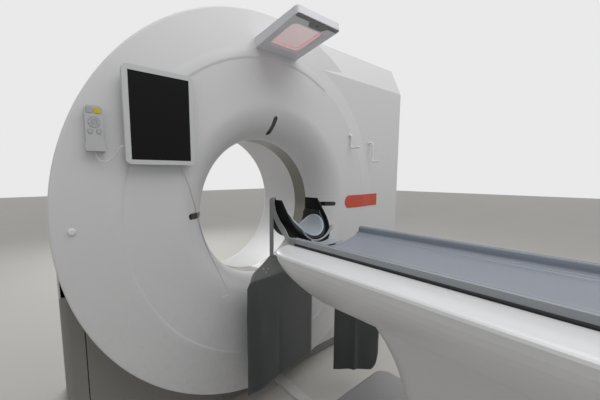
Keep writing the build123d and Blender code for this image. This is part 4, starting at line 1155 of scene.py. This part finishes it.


# thin red line set along two sides of the visor's pane, with a painted glow: it emits light though it is no
# lamp
lineLook = {
    "origin": (0.0, -0.211, 1.710),
    "slope": math.radians(-7.4),
    "level": 0.0134,
    "width": 0.0022,
    "height": 0.0007,
    "corners": ((-0.072, -0.061), (0.058, -0.061), (0.069, -0.074), (0.069, -0.196)),
    "paintedGlow": 0.45,
}


def makeVisorLine(look):
    turn = Matrix.Rotation(look["slope"], 4, "X")
    points = [Vector((x, y, look["level"])) for x, y in look["corners"]]
    rows = []
    for index, spot in enumerate(points):
        before, after = points[max(index - 1, 0)], points[min(index + 1, len(points) - 1)]
        along = (after - before).normalized()
        side = Vector((-along.y, along.x, 0)) * look["width"] / 2
        row = []
        for share, drop in ((-1, 0), (-1, -1), (1, -1), (1, 0)):
            local = spot + side * share + Vector((0, 0, drop * look["height"]))
            row.append(Vector(look["origin"]) + turn @ local)
        rows.append(row)
    material, tree, shader = newMaterial("visorLine")
    skin = placeGroup(tree, skinGroup, {"Colour": (0.8, 0.12, 0.13, 1), "Tint": (0.85, 0.25, 0.26, 1)})
    # the emission here is a painted glow on the red line
    feed(tree, shader, {"Base Color": skin["Colour"], "Emission Color": skin["Colour"],
                        "Emission Strength": look["paintedGlow"]})
    piece = skinFromRows("visorLine", rows, material, closed=True)
    for polygon in piece.data.polygons:
        polygon.use_smooth = False
    finishPiece(piece, "stand")


makeVisorLine(lineLook)


# marks on the hand control: four white dots on the pad, one on each lower key
markLook = {"padCentre": (-0.758, 1.31957), "padReach": 0.0125,
            "lowKeys": ((-0.770, 1.2904), (-0.746, 1.2904)),
            "y": -0.2273, "radius": 0.0014, "height": 0.0004, "sides": 20, "rim": 0.00012, "rimSteps": 2}
markPaint = skinMaterial("markPaint", (0.78, 0.78, 0.77), (0.72, 0.72, 0.71), rough=0.5)


def makeMark(name, x, z, body):
    finishPiece(makeButton(name, markLook, (x, markLook["y"], z), smooth=False), body, markPaint)


padX, padZ = markLook["padCentre"]
for number in range(4):
    angle, reach = number * math.pi / 2, markLook["padReach"]
    makeMark(f"padMark{number + 1}", padX + reach * math.cos(angle), padZ + reach * math.sin(angle),
             "direction_pad_body")
for side, (x, z) in zip(("left", "right"), markLook["lowKeys"]):
    makeMark(side + "KeyMark", x, z, f"key_low_{side}_body")
print("trim made")

# floor, backdrop, light and camera
roomLook = {
    "floor": (0.56, 0.545, 0.51),
    "sky": (0.82, 0.82, 0.82),
    "skyLight": 0.475,
    # name, place, size, power, target
    "lamps": (
        ("ceilingLamp", (0.35, -1.7, 3.8), (3.6, 3.2), 71.0, (0.0, -0.9, 0.9)),
        ("leftLamp", (-3.4, -2.6, 2.2), (2.4, 2.4), 9.0, (0.0, -0.4, 0.9)),
        ("rearLamp", (0.8, 3.6, 2.8), (3.0, 2.0), 66.0, (0.0, 0.3, 1.0)),
    ),
}


def makeFloor(look):
    deselectAll()
    bpy.ops.mesh.primitive_plane_add(size=40, location=(0, 0, 0))
    floor = bpy.context.object
    floor.name = "paleFloor"
    material, tree, shader = newMaterial("floorFinish")
    skin = placeGroup(tree, skinGroup, {
        "Colour": (*look["floor"], 1), "Tint": (*[c * 0.96 for c in look["floor"]], 1),
        "Cloud Scale": 1.2, "Roughness": 0.5,
    })
    feed(tree, shader, {"Base Color": skin["Colour"], "Roughness": skin["Roughness"]})
    floor.data.materials.append(material)


def makeLight(name, place, size, power, target):
    lamp = bpy.data.lights.new(name, "AREA")
    lamp.shape = "RECTANGLE"
    lamp.size, lamp.size_y = size
    lamp.energy = power
    piece = bpy.data.objects.new(name, lamp)
    piece.location = place
    piece.rotation_euler = (Vector(target) - Vector(place)).to_track_quat("-Z", "Y").to_euler()
    bpy.context.scene.collection.objects.link(piece)


# bright where the camera sees it, dimmer as a light
def makeWorld(look):
    world = bpy.data.worlds.new("paleRoom")
    bpy.context.scene.world = world
    world.use_nodes = True
    tree = world.node_tree
    path = tree.nodes.new("ShaderNodeLightPath").outputs
    seen = mathNode(tree, "MAXIMUM", path["Is Camera Ray"], path["Is Glossy Ray"])
    seen = mathNode(tree, "MAXIMUM", seen, path["Is Transmission Ray"])
    extra = mathNode(tree, "MULTIPLY", seen, 1.0 - look["skyLight"])
    feed(tree, tree.nodes["Background"], {
        "Color": (*look["sky"], 1), "Strength": mathNode(tree, "ADD", extra, look["skyLight"]),
    })


makeFloor(roomLook)
makeWorld(roomLook)
for lampValues in roomLook["lamps"]:
    makeLight(*lampValues)

cameraLook = {
    "place": (-0.8874, -1.3069, 1.1491),
    "angles": (90 - 6.3, 0.2, -37.4),  # pitch from straight down, roll, turn
    "lens": 17.35,
    "sensor": 36.0,
    "shift": (0.0507, 0.0127),
    "clip": (0.05, 100.0),
}
lensData = bpy.data.cameras.new("photoCamera")
lensData.sensor_width = cameraLook["sensor"]
lensData.lens = cameraLook["lens"]
lensData.shift_x, lensData.shift_y = cameraLook["shift"]
lensData.clip_start, lensData.clip_end = cameraLook["clip"]
photoCamera = bpy.data.objects.new("photoCamera", lensData)
photoCamera.location = cameraLook["place"]
photoCamera.rotation_euler = [math.radians(angle) for angle in cameraLook["angles"]]
bpy.context.scene.collection.objects.link(photoCamera)
bpy.context.scene.camera = photoCamera
bpy.context.scene.view_settings.view_transform = "Standard"
